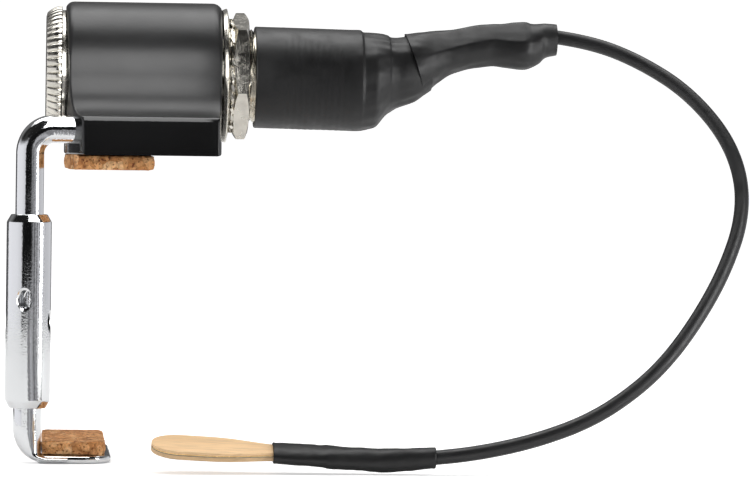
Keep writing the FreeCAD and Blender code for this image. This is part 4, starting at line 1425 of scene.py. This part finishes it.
def leaf_layer(settings, bottom, thickness, rim):
    """One layer of the paddle, with a rounded edge."""
    outline = []
    columns = 90
    for k in range(columns + 1):
        t = k / columns
        x = settings.shank_in - (settings.shank_in + settings.reach) * math.sin(0.5 * math.pi * t)
        outline.append((x, leaf_half_width(x, settings)))
    bm = bmesh.new()
    near = [bm.verts.new((x, -half, bottom)) for x, half in outline[:-1]]
    far = [bm.verts.new((x, half, bottom)) for x, half in reversed(outline[:-1])]
    tip = bm.verts.new((outline[-1][0], 0, bottom))
    face = bm.faces.new(near + [tip] + far)
    lifted = bmesh.ops.extrude_face_region(bm, geom=[face])
    bmesh.ops.translate(bm, vec=(0, 0, thickness),
                        verts=[g for g in lifted["geom"] if isinstance(g, bmesh.types.BMVert)])
    bmesh.ops.recalc_face_normals(bm, faces=bm.faces)
    if rim:
        edges = [e for e in bm.edges if e.calc_face_angle() > 1.0
                 and abs(e.verts[0].co.z - e.verts[1].co.z) < 1e-8]
        bmesh.ops.bevel(bm, geom=edges, offset=rim, offset_type="OFFSET", segments=2, profile=0.5,
                        affect="EDGES", clamp_overlap=True, material=-1)
    bmesh.ops.transform(bm, matrix=leaf_matrix(settings), verts=bm.verts)
    return bm


class PICKUP_OT_leaf(bpy.types.Operator):
    """Add the layered pickup leaf"""
    bl_idname = "pickup.leaf"
    bl_label = "Pickup leaf"

    def execute(self, context):
        settings = context.scene.pickup_leaf
        wood = wood_finish("leaf wood", settings.wood, settings)
        # The lower half gets the same wood darkened to 0.8: painted shade along its edge, not a different
        # wood.
        under = wood_finish("leaf wood painted shade", settings.wood, settings, 0.8)
        foil = metal_finish("foil", (0.86, 0.58, 0.26), 0.22, 0.6 * MM)
        layers = [
            ("leaf_lower_half", "lower_wood_leaf", settings.lower_wood, under, "leaf_wood", 0.08 * MM),
            ("leaf_film", "piezo_film", settings.film, film_finish(), "film", 0),
            ("leaf_foil", "copper_foil", settings.foil, foil, "copper", 0),
            ("leaf_upper_half", "upper_wood_leaf", settings.upper_wood, wood, "leaf_wood", 0.07 * MM),
        ]
        bottom = -sum(layer[2] for layer in layers) / 2
        for name, node, thickness, finish, slot, rim in layers:
            bm = leaf_layer(settings, bottom, thickness, rim)
            new_piece(name, bm, "main", finish, [node], sharp=40)
            bottom += thickness
        return {"FINISHED"}


class VIEW3D_PT_pickup(bpy.types.Panel):
    """Lists the pickup's pieces and their settings"""
    bl_label = "Piezo Pickup"
    bl_space_type = "VIEW_3D"
    bl_region_type = "UI"
    bl_category = "Pickup"

    def draw(self, context):
        layout = self.layout
        for operator in OPERATORS:
            layout.operator(operator.bl_idname)
        for name, group in GROUPS.items():
            box = layout.box()
            box.label(text=name.replace("_", " ").capitalize())
            for key in group.__annotations__:
                box.prop(getattr(context.scene, name), key)


OPERATORS = [PICKUP_OT_studio, PICKUP_OT_lead, PICKUP_OT_housing, PICKUP_OT_cork, PICKUP_OT_clamp,
             PICKUP_OT_jack, PICKUP_OT_shrink, PICKUP_OT_leaf]


def register():
    for group in GROUPS.values():
        bpy.utils.register_class(group)
    for name, group in GROUPS.items():
        setattr(bpy.types.Scene, name, bpy.props.PointerProperty(type=group))
    for operator in OPERATORS:
        bpy.utils.register_class(operator)
    bpy.utils.register_class(VIEW3D_PT_pickup)


def unregister():
    bpy.utils.unregister_class(VIEW3D_PT_pickup)
    for operator in reversed(OPERATORS):
        bpy.utils.unregister_class(operator)
    for name, group in reversed(GROUPS.items()):
        delattr(bpy.types.Scene, name)
        bpy.utils.unregister_class(group)


def main():
    register()
    bpy.ops.pickup.studio()
    bpy.ops.pickup.lead()
    bpy.ops.pickup.housing()
    bpy.ops.pickup.cork()
    bpy.ops.pickup.clamp()
    bpy.ops.pickup.jack()
    bpy.ops.pickup.shrink()
    bpy.ops.pickup.leaf()


if __name__ == "__main__":
    main()
